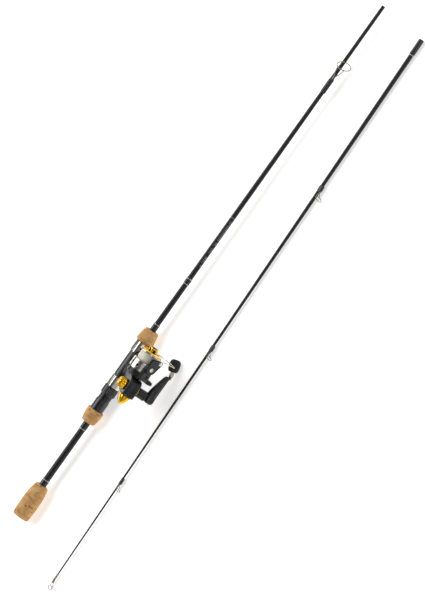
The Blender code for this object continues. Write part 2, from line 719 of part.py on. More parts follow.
def rotor_shape():
    """The rotor's base and inner wall, with two arms, a fin and the arms' pivot holes."""
    base = turned(((254.0, 3.2), (254.0, 14.0), (255.0, 15.3), (257.5, 15.3), (257.5, 14.5),
                   (266.0, 14.5), (266.0, 12.6), (257.5, 12.6), (257.5, 3.2)),
                  spool_frame(), 28)
    parts = []
    holes = []
    for turn in (NEAR_ARM_DEG, NEAR_ARM_DEG + 180.0):
        frame = arm_frame(turn)
        parts.append(lofted([sector(along, 13.3, 19.9, half) for along, half in
                             ((253.4, 21.0), (257.9, 23.0))], frame))
        parts.append(lofted([sector(along, 17.6, 20.5, half) for along, half in
                             ((254.2, 25.0), (258.0, 26.0), (265.0, 23.0), (273.0, 19.0),
                              (276.5, 15.0), (278.0, 10.0))], frame))
        holes.append(rod_solid(15.5, 24.0, 1.6, radial_frame(turn, 0.0, 0.0), 16))
    fin_frame = arm_frame(NEAR_ARM_DEG + 50.0)
    parts.append(lofted([((start, radius, -half), (start, radius, half),
                          (end, radius, half), (end, radius, -half)) for radius, half, start, end in
                         ((13.1, 6.0, 251.6, 257.9), (20.0, 3.8, 251.4, 257.8),
                          (25.0, 1.2, 252.8, 255.8))], fin_frame))
    return combined(combined(base, parts, "UNION"), holes, "DIFFERENCE")


def radial_frame(turn_deg, forwards, round_spool):
    """Frame whose x runs out from the spool's axis, through a point of a bail plate."""
    pivot = pivot_frame(turn_deg)
    turn = pivot.to_3x3()
    return axis_frame(pivot @ Vector((forwards, 0.0, round_spool)), turn @ Vector((0, 1, 0)),
                      turn @ Vector((1, 0, 0)))


def bail_plate(turn_deg, reach, tip_radius, holes):
    """A flat plate from the pivot to its tip, outside a rotor arm."""
    inner, outer, root_radius = 20.8, 23.2, 7.6
    direction = Vector((reach[0], 0.0, reach[1]))
    spread = math.acos((root_radius - tip_radius) / direction.length)
    heading = math.atan2(reach[1], reach[0])
    outline = []
    for centre, radius, start, end in (
            (direction, tip_radius, heading - spread, heading + spread),
            (Vector(), root_radius, heading + spread, heading + 2.0 * math.pi - spread)):
        for step in range(11):
            angle = start + (end - start) * step / 10.0
            outline.append(centre + Vector((math.cos(angle), 0.0, math.sin(angle))) * radius)
    plate = lofted([[point + Vector((0.0, height, 0.0)) for point in outline]
                    for height in (inner, outer)], pivot_frame(turn_deg))
    cutters = [rod_solid(inner - 3.0, outer + 3.0, radius, radial_frame(turn_deg, along, across), 16)
               for along, across, radius in holes]
    return combined(plate, cutters, "DIFFERENCE")


def add_rotor(body):
    """The rotor, the pinion and nut that carry it, and the bail's pivot screws."""
    body.piece("rotor", rotor_shape(), "graphite")
    teeth = [polar_ring(along, lobes(3.4, 0.8, PINION_TEETH), PINION_TEETH * 2)
             for along in (241.5, 248.2)]
    neck = [polar_ring(along, lambda _: 2.85, PINION_TEETH * 2) for along in (248.6, 262.0)]
    bores = [polar_ring(along, lambda _: SHAFT_RADIUS + 0.1, PINION_TEETH * 2)
             for along in (241.5, 248.2, 248.6, 262.0)]
    body.piece("pinion_gear", sleeve(list(zip(teeth + neck, bores)), spool_frame()), "brass")
    nut = [([(along, 6.0 * math.cos(math.radians(30 * k)) * flat(k),
              6.0 * math.sin(math.radians(30 * k)) * flat(k)) for k in range(12)],
            polar_ring(along, lambda _: 2.95, 12)) for along in (257.8, 260.6)]
    body.piece("rotor_nut", sleeve(nut, spool_frame()), "steel")
    for name, turn in (("bail_screw_near", NEAR_ARM_DEG), ("bail_screw_far", NEAR_ARM_DEG + 180)):
        body.piece(name, turned(((18.0, 0.0), (18.0, 1.45), (23.5, 1.45), (23.5, 2.5), (24.1, 2.5),
                                 (24.6, 1.9), (24.6, 0.0)), radial_frame(turn, 0.0, 0.0), 20, False),
                   "steel")


def flat(corner):
    """Share of a hexagon's corner radius at every second point of its outline."""
    return 1.0 if corner % 2 == 0 else math.cos(math.radians(30.0))


def add_bail(body, roller_body):
    """The bail: arm, far holder, wire and line roller, as it lies when closed."""
    roller = radial_frame(NEAR_ARM_DEG, *BAIL_TIP)
    body.piece("bail_arm", bail_plate(NEAR_ARM_DEG, BAIL_TIP, 3.6,
                                      ((0.0, 0.0, 1.6), (*BAIL_TIP, 1.1))), "graphite")
    far_tip = (HOLDER_TIP[0], -HOLDER_TIP[1])
    body.piece("bail_holder", bail_plate(NEAR_ARM_DEG + 180.0, far_tip, 3.0,
                                         ((0.0, 0.0, 1.6),)), "graphite")
    knots = []
    for round_deg, radius, forwards in ((24.2, 24.1, 16.9), (34.0, 26.8, 17.6), (48.0, 32.0, 17.4),
                                        (62.0, 36.4, 17.0), (73.0, 35.4, 17.0), (81.0, 32.2, 17.0),
                                        (90.0, 29.0, 17.0), (108.0, 26.8, 16.8), (130.0, 25.0, 16.0),
                                        (149.0, 24.0, 14.4), (161.0, 23.3, 12.0)):
        angle = math.radians(round_deg)
        knots.append((forwards, radius * math.cos(angle), radius * math.sin(angle)))
    path = [pivot_frame(NEAR_ARM_DEG) @ point for point in smooth_path(knots, 3)]
    body.piece("bail_wire", swept(path, 0.7, 6), "steel")
    body.piece("roller_screw", turned(((16.4, 0.0), (16.4, 0.95), (23.5, 0.95), (23.5, 2.0),
                                       (24.2, 2.0), (24.2, 0.0)), roller, 16, False), "steel")
    roller_body.piece("line_roller", turned(((16.9, 1.05), (16.9, 2.8), (18.0, 2.2), (19.4, 2.2),
                                             (20.5, 2.8), (20.5, 1.05)), roller, 20), "chrome")


def add_spool(shaft_body, spool_body, knob_body):
    """The main shaft with its slider, the spool with its line, and the drag."""
    frame = spool_frame()
    bore = SHAFT_RADIUS + 0.1
    shaft = rod_solid(229.2, 294.0, SHAFT_RADIUS, frame, 16)
    block = lofted([oval((along, -1.4, 0.0), 3.2, 3.2, ((0, 1, 0), (0, 0, 1)), 8.0, 16)
                    for along in (231.0, 237.0)], frame)
    shaft_body.piece("main_shaft", combined(shaft, [block], "UNION"), "steel")
    shaft_body.piece("drag_washers", ring_solid(281.4, 285.4, bore + 0.1, 7.6, frame, 24), "steel")
    spool_outline = ((273.2, bore), (273.2, 15.0), (261.5, 15.0), (261.5, 16.2), (274.6, 16.2),
                     (275.2, 15.6), (275.2, 9.0), (287.2, 9.0), (287.2, 15.3), (287.9, 16.4),
                     (289.2, 16.4), (289.6, 15.9), (289.6, 11.0), (288.4, 11.0), (288.4, 8.0),
                     (281.0, 8.0), (281.0, bore))
    spool_body.piece("spool", turned(spool_outline, frame, 28), "chrome")
    spool_body.piece("spool_lip", turned(((289.9, 11.0), (289.9, 15.7), (290.4, 15.7),
                                          (291.4, 14.2), (291.4, 11.0)), frame, 28), "gold")
    spool_body.piece("wound_line", turned(((275.5, 9.3), (275.5, 12.8), (278.0, 13.3),
                                           (284.5, 13.3), (286.9, 12.8), (286.9, 9.3)),
                                          frame, 24), "line")
    knob_sections = []
    for along, radius, depth in ((285.8, 7.6, 0.0), (289.2, 7.6, 0.0), (289.8, 6.7, 0.9),
                                 (294.9, 6.5, 0.9), (295.7, 5.9, 0.7)):
        knob_sections.append((polar_ring(along, lobes(radius, depth, 5), 40),
                              polar_ring(along, lambda _: bore, 40)))
    knob_body.piece("drag_knob", sleeve(knob_sections, frame), "gold")
    knob_body.piece("drag_cap", turned(((296.0, 0.0), (296.0, 5.3), (297.0, 5.1), (297.8, 4.0),
                                        (297.8, 0.0)), frame, 24, False), "rubber")


# --------------------------------------------------------------------- assembly

def butt_matrix():
    """Place the rod frame on the ground, with the reel up and its crank side down."""
    turn = Matrix.Rotation(math.radians(180.0 - BUTT_TILT_DEG), 4, "X")
    return Matrix.Translation(Vector((-CENTRE_X, -CENTRE_Y, ROD_AXIS_HEIGHT)) * MM) @ turn


def tip_matrix():
    """Place the tip section beside the butt section, with its guides lying outwards."""
    start, end = Vector(FERRULE_END), Vector(TIP_END)
    roll = math.radians(TIP_ROLL_DEG)
    frame = axis_frame((0, 0, 0), end - start, (0.0, -math.cos(roll), math.sin(roll)))
    offset = start - Vector((CENTRE_X, CENTRE_Y, 0.0))
    return Matrix.Translation(offset * MM) @ frame


def build():
    """Build both sections and everything that moves on them."""
    clear_scene()
    butt = section_empty("butt_section_frame", butt_matrix())
    tip = section_empty("tip_section_frame", tip_matrix())
    spool_point = (PIVOT_X, SPOOL_AXIS, 0.0)
    crank_point = (CRANK_X, SPOOL_AXIS + CRANK_OFFSET, 0.0)
    pin_point = pin_frame().translation
    root = Body("butt_section", butt)
    add_blank(root)
    add_grips(root)
    add_wraps(root)
    add_reel_seat(root)
    add_hoods(root, Body("hood_slide", butt), Body("nut_turn", butt, (LOCK_NUT[0], 0.0, 0.0)))
    add_stripper_guide(root)
    add_gearbox(root)
    add_crank(Body("crank_axis", butt, crank_point))
    add_knob(Body("knob_fold", butt, pin_point), Body("knob_spin", butt, pin_point))
    add_rotor(Body("rotor_axis", butt, spool_point))
    roller_point = radial_frame(NEAR_ARM_DEG, *BAIL_TIP).translation
    add_bail(Body("bail_pivot", butt, spool_point), Body("roller_axis", butt, roller_point))
    add_spool(Body("shaft_slide", butt, spool_point), Body("spool_spin", butt, spool_point),
              Body("drag_turn", butt, spool_point))
    tip_body = Body("tip_section", tip)
    add_tip_section(tip_body)
    add_tip_top(tip_body)


build()
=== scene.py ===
"""The looks of a two-piece spinning rod and its reel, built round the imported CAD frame.

Every piece is a surface worked out in millimetres in the frame of the section that it
belongs to, and is laid on the ground when its mesh is finished.
"""
import logging
import math
from abc import ABC, abstractmethod
from dataclasses import dataclass
from enum import Enum
from typing import Any, Iterable, Sequence, Union

import bmesh
import bpy
import numpy as np
from mathutils import Matrix, Vector


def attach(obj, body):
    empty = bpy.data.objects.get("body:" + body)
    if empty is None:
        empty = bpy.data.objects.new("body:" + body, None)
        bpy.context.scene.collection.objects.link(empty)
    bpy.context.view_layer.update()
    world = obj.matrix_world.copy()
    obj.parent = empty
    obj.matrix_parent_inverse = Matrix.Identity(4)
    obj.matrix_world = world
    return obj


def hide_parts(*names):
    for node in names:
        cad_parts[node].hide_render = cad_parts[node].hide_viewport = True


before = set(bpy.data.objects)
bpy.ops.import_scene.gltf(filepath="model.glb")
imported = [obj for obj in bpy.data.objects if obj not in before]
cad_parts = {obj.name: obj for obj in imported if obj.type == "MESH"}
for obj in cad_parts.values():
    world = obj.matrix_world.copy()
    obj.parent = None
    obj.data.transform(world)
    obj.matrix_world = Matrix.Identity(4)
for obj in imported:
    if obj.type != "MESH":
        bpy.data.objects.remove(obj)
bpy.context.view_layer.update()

LOG = logging.getLogger("rod")
MM = 0.001
TAU = 2.0 * math.pi
MERGE = 1e-7
SHARP = math.radians(38.0)

Array = np.ndarray
Point = Sequence[float]


class Body(str, Enum):
    """The bodies that pieces ride on."""

    BUTT = "butt_section"
    HOOD = "sliding_hood"
    NUT = "lock_nut"
    CRANK = "crank"
    YOKE = "knob_yoke"
    KNOB = "knob"
    ROTOR = "rotor"
    BAIL = "bail"
    ROLLER = "line_roller"
    SHAFT = "main_shaft"
    SPOOL = "spool"
    DRAG = "drag_knob"
    TIP = "tip_section"


# ------------------------------------------------------------------- frames


def unit(vectors: Array) -> Array:
    """Scale vectors to length one."""
    return vectors / np.linalg.norm(vectors, axis=-1, keepdims=True)


@dataclass(frozen=True)
class Frame:
    """A right-handed frame: an origin in millimetres and three unit axes as rows."""

    origin: Array
    axes: Array

    @classmethod
    def along(cls, origin: Point, axis: Point, side: Point) -> "Frame":
        """Build a frame whose x runs along axis and whose y is side, squared to it.

        Args:
            origin: Where the frame stands.
            axis: The direction of x.
            side: A direction near y.

        Returns:
            The frame.
        """
        x = unit(np.asarray(axis, float))
        near = np.asarray(side, float)
        y = unit(near - x * near.dot(x))
        return cls(np.asarray(origin, float), np.stack([x, y, np.cross(x, y)]))

    def place(self, points: Array) -> Array:
        """Take points from this frame to the one that it stands in."""
        return np.asarray(points, float) @ self.axes + self.origin

    def turn(self, direction: Point) -> Array:
        """Take a direction from this frame to the one that it stands in."""
        return np.asarray(direction, float) @ self.axes

    def within(self, origin: Point, axis: Point, side: Point) -> "Frame":
        """Build a frame from an origin, axis and side that are given in this one."""
        return Frame.along(self.place(origin), self.turn(axis), self.turn(side))


WORLD = Frame(np.zeros(3), np.eye(3))
CENTRE = np.array([395.33, -46.87, 0.0])
BUTT_TILT = math.radians(35.0)
ROD = Frame.along(np.array([0.0, 0.0, 12.78]) - CENTRE, (1.0, 0.0, 0.0),
                  (0.0, -math.cos(BUTT_TILT), math.sin(BUTT_TILT)))
FERRULE_END = np.array([836.35, -78.37, 4.1])
TIP_END = np.array([-48.03, -102.03, 3.35])
TIP_ROLL = math.radians(12.0)
TIP = Frame.along(FERRULE_END - CENTRE, TIP_END - FERRULE_END,
                  (0.0, -math.cos(TIP_ROLL), math.sin(TIP_ROLL)))


# ----------------------------------------------------------------- surfaces


@dataclass
class Grid:
    """A surface on two parameters: rows along it, and columns round it.

    Attributes:
        points: Rows by columns by three, in millimetres.
        closed_rows: The last row joins the first.
        closed_columns: The last column joins the first.
        along: Each row's place for patterns, in millimetres.
    """

    points: Array
    closed_rows: bool = False
    closed_columns: bool = True
    along: Union[Array, None] = None

    def corners(self) -> tuple[Array, Array]:
        """Work out the faces.

        Returns:
            Four vertex numbers for each face, and their pattern places: the share of
            a turn round the columns, and the millimetres along the rows.
        """
        rows, columns = self.points.shape[:2]
        along = self.along
        if along is None:
            steps = np.linalg.norm(np.diff(self.points[:, 0], axis=0), axis=-1)
            along = np.concatenate([[0.0], np.cumsum(steps)])
        row = np.arange(rows if self.closed_rows else rows - 1)
        column = np.arange(columns if self.closed_columns else columns - 1)
        row, column = (part.reshape(-1, 1) for part in np.meshgrid(row, column, indexing="ij"))
        down = row + np.array([0, 0, 1, 1])
        across = column + np.array([0, 1, 1, 0])
        faces = (down % rows) * columns + across % columns
        places = np.stack([across / columns, along[down % rows]], axis=-1)
        return faces, places


def spline(knots: Sequence[Point], steps: int) -> Array:
    """Run a Catmull-Rom curve through knots: a cubic between each two neighbours whose
    slope at a knot is half the way from the knot before to the knot after.

    Args:
        knots: The knots, each with any number of values.
        steps: Points for each span.

    Returns:
        The curve's points, one to a row.
    """
    knot = np.asarray(knots, float)
    ends = np.vstack([2 * knot[:1] - knot[1:2], knot, 2 * knot[-1:] - knot[-2:-1]])
    a, b, c, d = (ends[i:len(ends) - 3 + i, None, :] for i in range(4))
    t = (np.arange(steps) / steps)[None, :, None]
    curve = 0.5 * (2 * b + (c - a) * t + (2 * a - 5 * b + 4 * c - d) * t**2
                   + (3 * b - a - 3 * c + d) * t**3)
    return np.vstack([curve.reshape(-1, knot.shape[1]), knot[-1:]])


def softened(corners: Sequence[Point], cut: float, closed: bool = False, steps: int = 4) -> Array:
    """Round an outline's corners: each becomes the parabola whose ends lie a cut away
    on both of its sides, or less where a side is short.

    Args:
        corners: The outline's corners.
        cut: How far the rounding reaches along each side.
        closed: The outline's last corner joins its first.
        steps: Spans for each rounded corner.

    Returns:
        The rounded outline's points.
    """
    corner = np.asarray(corners, float)
    before, after = np.roll(corner, 1, axis=0) - corner, np.roll(corner, -1, axis=0) - corner
    lengths = [np.maximum(np.linalg.norm(side, axis=1, keepdims=True), 1e-9)
               for side in (before, after)]
    reach = np.minimum(cut, 0.45 * np.minimum(*lengths))
    start, end = corner + before / lengths[0] * reach, corner + after / lengths[1] * reach
    t = np.linspace(0.0, 1.0, steps + 1)[None, :, None]
    curve = ((1 - t)**2 * start[:, None] + 2 * t * (1 - t) * corner[:, None] + t**2 * end[:, None])
    if closed:
        return curve.reshape(-1, corner.shape[1])
    middle = curve[1:-1].reshape(-1, corner.shape[1])
    return np.vstack([corner[:1], middle, corner[-1:]])


def respaced(path: Array, spacing: float) -> Array:
    """Spread points evenly along a path, by linear interpolation on its length.

    Args:
        path: The path's points.
        spacing: The largest gap between two points.

    Returns:
        The new points.
    """
    length = np.concatenate([[0.0], np.cumsum(np.linalg.norm(np.diff(path, axis=0), axis=1))])
    even = np.linspace(0.0, length[-1], max(2, int(math.ceil(length[-1] / spacing)) + 1))
    return np.stack([np.interp(even, length, column) for column in path.T], axis=1)


def turns(count: int) -> Array:
    """Angles of a full turn, without its end."""
    return TAU * np.arange(count) / count


def revolved(along: Array, radius: Array, frame_of: Frame, closed: bool) -> Grid:
    """Carry a radius round the frame's x axis: x is along, y and z are the radius times
    the cosine and sine of the column's angle.

    Args:
        along: Each row's place on the axis, or one for each point.
        radius: Each point's radius, rows by columns.
        frame_of: The frame whose x is the axis.
        closed: The profile is a ring clear of the axis.

    Returns:
        The surface.
    """
    angle = turns(radius.shape[1])[None, :]
    place = np.broadcast_to(along if along.ndim == 2 else along[:, None], radius.shape)
    points = np.stack([place, radius * np.cos(angle), radius * np.sin(angle)], axis=-1)
    return Grid(frame_of.place(points), closed, along=place[:, 0])


def turned(profile: Sequence[Point], frame_of: Frame, around: int = 64, cut: float = 0.3,
           hollow: bool = True) -> Grid:
    """Turn a profile of (along, radius) corners, rounded, about the frame's x axis.

    Args:
        profile: The corners. Unless hollow, they start and end on the axis.
        frame_of: The frame whose x is the axis.
        around: Columns.
        cut: How far the rounding of a corner reaches.
        hollow: The profile is a ring clear of the axis.

    Returns:
        The surface.
    """
    outline = softened(profile, cut, closed=hollow)
    radius = np.repeat(outline[:, 1:], around, axis=1)
    return revolved(outline[:, 0], radius, frame_of, hollow)


def superellipse(count: int, power: float) -> Array:
    """Work out a unit superellipse: cosine and sine, each raised to two over the power.

    Args:
        count: How many points.
        power: Two is a circle, and more is squarer.

    Returns:
        The points, two numbers each.
    """
    angle = turns(count)
    pair = np.stack([np.cos(angle), np.sin(angle)], axis=1)
    return np.sign(pair) * np.abs(pair)**(2.0 / power)


def lofted(centres: Array, halves: Array, axes: tuple[Point, Point], frame_of: Frame,
           power: float = 2.5, around: int = 48) -> Grid:
    """Join superellipses whose centres and half sizes change along the piece, and close
    both ends to a point at their middle.

    Args:
        centres: Each section's centre.
        halves: Each section's two half sizes.
        axes: The two directions that the half sizes lie along.
        frame_of: The frame that all of it is given in.
        power: Two is an ellipse, and more is squarer.
        around: Columns.

    Returns:
        The surface.
    """
    ring = superellipse(around, power)
    reach = halves[:, None, :] * ring[None, :, :]
    points = centres[:, None, :] + reach @ np.asarray(axes, float)
    return poles(Grid(frame_of.place(points)))


def poles(grid: Grid) -> Grid:
    """Close a surface's first and last row to the middle of each."""
    first, last = (np.broadcast_to(row.mean(axis=0), row.shape)[None]
                   for row in (grid.points[0], grid.points[-1]))
    return Grid(np.concatenate([first, grid.points, last]), False, grid.closed_columns)


def wire(path: Array, radius: Union[float, Array], up: Point, sides: int = 14,
         closed: bool = False) -> Grid:
    """Carry a circle along a path. Its two directions are the tangent crossed with up,
    and that crossed with the tangent.

    Args:
        path: The path's points.
        radius: The wire's radius, or one for each point.
        up: A direction that the path never runs along.
        sides: Columns.
        closed: The path is a ring.

    Returns:
        The surface, closed to a rounded end where the path is open.
    """
    if closed:
        tangent = unit(np.roll(path, -1, axis=0) - np.roll(path, 1, axis=0))
    else:
        tangent = unit(np.gradient(path, axis=0))
    side = unit(np.cross(tangent, np.asarray(up, float)))
    other = np.cross(side, tangent)
    angle = turns(sides)[None, :, None]
    size = np.broadcast_to(radius, len(path))[:, None, None]
    if not closed:
        dome = np.radians([75.0, 50.0, 25.0])
        ends = size[0] * np.sin(dome)[:, None]
        start = path[:1] - tangent[:1] * ends
        end = path[-1:] + tangent[-1:] * (size[-1] * np.sin(dome[::-1])[:, None])
        path = np.vstack([start, path, end])
        side = np.vstack([np.repeat(side[:1], 3, 0), side, np.repeat(side[-1:], 3, 0)])
        other = np.vstack([np.repeat(other[:1], 3, 0), other, np.repeat(other[-1:], 3, 0)])
        shrink = np.cos(dome)[:, None, None]
        size = np.vstack([size[:1] * shrink, size, size[-1:] * shrink[::-1]])
    ring = path[:, None] + size * (np.cos(angle) * side[:, None] + np.sin(angle) * other[:, None])
    return Grid(ring, True) if closed else poles(Grid(ring))


def ring_path(centre: Point, radius: float, frame_of: Frame, count: int = 72) -> Array:
    """Work out a circle about the frame's x axis, moved so that its middle is at centre.

    Args:
        centre: The circle's middle.
        radius: Its radius.
        frame_of: The frame whose x axis it goes round.
        count: How many points.

    Returns:
        The points.
    """
    angle = turns(count)
    flat = np.stack([np.zeros(count), radius * np.cos(angle), radius * np.sin(angle)], axis=1)
    return frame_of.turn(flat) + np.asarray(centre, float)


def smoothstep(low: float, high: float, value: Array) -> Array:
    """Rise from nought to one between low and high, flat at both ends."""
    share = np.clip((value - low) / (high - low), 0.0, 1.0)
    return share * share * (3.0 - 2.0 * share)


def away_from(angle: Array, middle: float = 0.0) -> Array:
    """Degrees between each angle and a middle, the short way round."""
    return np.abs(np.degrees(np.angle(np.exp(1j * (angle - middle)))))


def lumps(points: Array, size: float, seed: int) -> Array:
    """Smooth noise: a lattice of numbers a size apart, blended between by smoothstep.

    Args:
        points: Where to read it.
        size: The lattice's spacing.
        seed: Which lattice.

    Returns:
        A number from nought to one for each point.
    """
    table = np.random.default_rng(seed).random((32, 32, 32))
    place = points / size
    cell = np.floor(place).astype(int)
    share = smoothstep(0.0, 1.0, place - cell)
    total = np.zeros(points.shape[:-1])
    for corner in np.ndindex(2, 2, 2):
        weight = np.prod(np.where(np.array(corner) == 1, share, 1.0 - share), axis=-1)
        index = tuple(np.moveaxis((cell + np.array(corner)) % 32, -1, 0))
        total += weight * table[index]
    return total


# ------------------------------------------------------------ shader graphs


class Sock:
    """A node's output, on which Python's operators add Math nodes."""

    def __init__(self, graph: "Graph", socket: Any) -> None:
        """Keep the graph and the socket."""
        self.graph, self.socket = graph, socket

    def math(self, operation: str, *others: Any) -> "Sock":
        """Put this value and the others through a Math node.

        Args:
            operation: The node's operation.
            others: Its other values or sockets.

        Returns:
            The result.
        """
        return self.graph.math(operation, self, *others)

    def __add__(self, other: Any) -> "Sock":
        """Add."""
        return self.math("ADD", other)

    def __sub__(self, other: Any) -> "Sock":
        """Take away."""
        return self.math("SUBTRACT", other)

    def __mul__(self, other: Any) -> "Sock":
        """Multiply."""
        return self.math("MULTIPLY", other)

    def __truediv__(self, other: Any) -> "Sock":
        """Divide."""
        return self.math("DIVIDE", other)

    def __pow__(self, other: Any) -> "Sock":
        """Raise to a power."""
        return self.math("POWER", other)

    def __rsub__(self, other: Any) -> "Sock":
        """Take this away from a number."""
        return self.graph.math("SUBTRACT", other, self)

    def __rtruediv__(self, other: Any) -> "Sock":
        """Divide a number by this."""
        return self.graph.math("DIVIDE", other, self)

    __radd__ = __add__
    __rmul__ = __mul__

    def sine(self) -> "Sock":
        """The sine, with this value in turns."""
        return (self * TAU).math("SINE")

    def below(self, limit: Any) -> "Sock":
        """One where this is less than the limit."""
        return self.math("LESS_THAN", limit)

    def above(self, limit: Any) -> "Sock":
        """One where this is more than the limit."""
        return self.math("GREATER_THAN", limit)

    def ramp(self, low: float, high: float, start: float = 0.0, end: float = 1.0) -> "Sock":
        """Go smoothly from start to end as this goes from low to high.

        Args:
            low: The value at which the change starts.
            high: The value at which it ends.
            start: The result at low.
            end: The result at high.

        Returns:
            The result.
        """
        return self.graph.node("ShaderNodeMapRange", {"interpolation_type": "SMOOTHSTEP"},
                               {"Value": self, "From Min": low, "From Max": high,
                                "To Min": start, "To Max": end})


Colour = tuple[float, float, float]
Value = Union[float, Sock]


class Graph:
    """A material's nodes."""

    def __init__(self, name: str) -> None:
        """Start a material with a Principled shader.

        Args:
            name: The material's name.
        """
        self.material = bpy.data.materials.new(name)
        self.material.use_nodes = True
        self.tree = self.material.node_tree
        self.shader = self.tree.nodes["Principled BSDF"]

    def node(self, kind: str, settings: dict[str, Any], inputs: dict[Any, Any],
             output: Union[int, str] = 0) -> Sock:
        """Add a node.

        Args:
            kind: The node's type.
            settings: Its own settings. A ramp's stops are under "stops".
            inputs: A value or a socket for each of its inputs, by name or number.
            output: Which of its outputs to return.

        Returns:
            The output.
        """
        made = self.tree.nodes.new(kind)
        for key, value in settings.items():
            if key == "stops":
                self._set_stops(made.color_ramp, value)
            else:
                setattr(made, key, value)
        for key, value in inputs.items():
            self.feed(made.inputs[key], value)
        return Sock(self, made.outputs[output])

    @staticmethod
    def _set_stops(ramp: Any, stops: Sequence[tuple[float, Colour]]) -> None:
        """Set a colour ramp's stops.

        Args:
            ramp: The ramp.
            stops: Each stop's place and colour.
        """
        while len(ramp.elements) < len(stops):
            ramp.elements.new(1.0)
        for element, (place, colour) in zip(ramp.elements, stops):
            element.position = place
            element.color = (*colour, 1.0)

    def feed(self, socket: Any, value: Any) -> None:
        """Set an input to a value, or link it.

        Args:
            socket: The input.
            value: A socket, a number, a vector or a colour.
        """
        if isinstance(value, Sock):
            self.tree.links.new(value.socket, socket)
        elif socket.type == "RGBA" and len(value) == 3:
            socket.default_value = (*value, 1.0)
        else:
            socket.default_value = value

    def math(self, operation: str, *values: Any) -> Sock:
        """Add a Math node."""
        return self.node("ShaderNodeMath", {"operation": operation}, dict(enumerate(values)))

    def place(self) -> Sock:
        """Object coordinates, in metres."""
        return self.node("ShaderNodeTexCoord", {}, {}, "Object")

    def stretched(self, scale: Point, turn: Point = (0.0, 0.0, 0.0)) -> Sock:
        """Object coordinates, turned and then scaled on each axis.

        Args:
            scale: The scale on each axis.
            turn: The turn about each axis, in radians.

        Returns:
            The coordinates.
        """
        turned_place = self.node("ShaderNodeMapping", {"vector_type": "POINT"},
                                 {"Vector": self.place(), "Rotation": turn})
        return self.node("ShaderNodeMapping", {"vector_type": "POINT"},
                         {"Vector": turned_place, "Scale": scale})

    def surface_place(self) -> tuple[Sock, Sock]:
        """Read the piece's own pattern places.

        Returns:
            The share of a turn, and the millimetres along.
        """
        pair = self.node("ShaderNodeUVMap", {"uv_map": "pattern"}, {})
        split = self.node("ShaderNodeSeparateXYZ", {}, {0: pair}, "X")
        return split, Sock(self, split.socket.node.outputs["Y"])

    def noise(self, scale: float, detail: float = 3.0, place: Union[Sock, None] = None,
              rough: float = 0.5) -> Sock:
        """Add noise.

        Args:
            scale: Features for each unit of the coordinates.
            detail: Octaves.
            place: Its coordinates, or None for Object coordinates.
            rough: How strong the finer octaves are.

        Returns:
            The noise, about one half.
        """
        return self.node("ShaderNodeTexNoise", {},
                         {"Vector": place or self.place(), "Scale": scale, "Detail": detail,
                          "Roughness": rough})

    def cells(self, scale: float, place: Union[Sock, None] = None,
              output: str = "Distance") -> Sock:
        """Add a cell pattern.

        Args:
            scale: Cells for each unit of the coordinates.
            place: Its coordinates, or None for Object coordinates.
            output: The distance from the cell's middle, or its own colour.

        Returns:
            The pattern.
        """
        return self.node("ShaderNodeTexVoronoi", {},
                         {"Vector": place or self.place(), "Scale": scale}, output)

    def mix(self, share: Value, first: Any, second: Any) -> Sock:
        """Mix two colours.

        Args:
            share: The second colour's share.
            first: A colour or a socket.
            second: A colour or a socket.

        Returns:
            The mixed colour.
        """
        made = self.tree.nodes.new("ShaderNodeMix")
        made.data_type = "RGBA"
        for socket, value in ((made.inputs["Factor"], share), (made.inputs[6], first),
                              (made.inputs[7], second)):
            self.feed(socket, value)
        return Sock(self, made.outputs[2])

    def bump(self, height: Sock, depth: float, after: Union[Sock, None] = None) -> Sock:
        """Bend the normal by a height.

        Args:
            height: The height, where one is the full depth.
            depth: The depth in millimetres.
            after: A bump that this one is laid over.

        Returns:
            The normal.
        """
        inputs = {"Height": height, "Distance": depth * MM, "Strength": 1.0}
        if after is not None:
            inputs["Normal"] = after
        return self.node("ShaderNodeBump", {}, inputs)

    def finish(self, **sockets: Any) -> bpy.types.Material:
        """Feed the shader's sockets, by names whose spaces are underscores.

        Args:
            sockets: A value or a socket for each.

        Returns:
            The finished material.
        """
        for name, value in sockets.items():
            self.feed(self.shader.inputs[name.replace("_", " ")], value)
        return self.material


# ----------------------------------------------------------------- finishes


@dataclass(frozen=True)
class Finish(ABC):
    """What a surface is made of."""

    slot: str
    name: str

    @abstractmethod
    def material(self) -> bpy.types.Material:
        """Make the finish's material."""


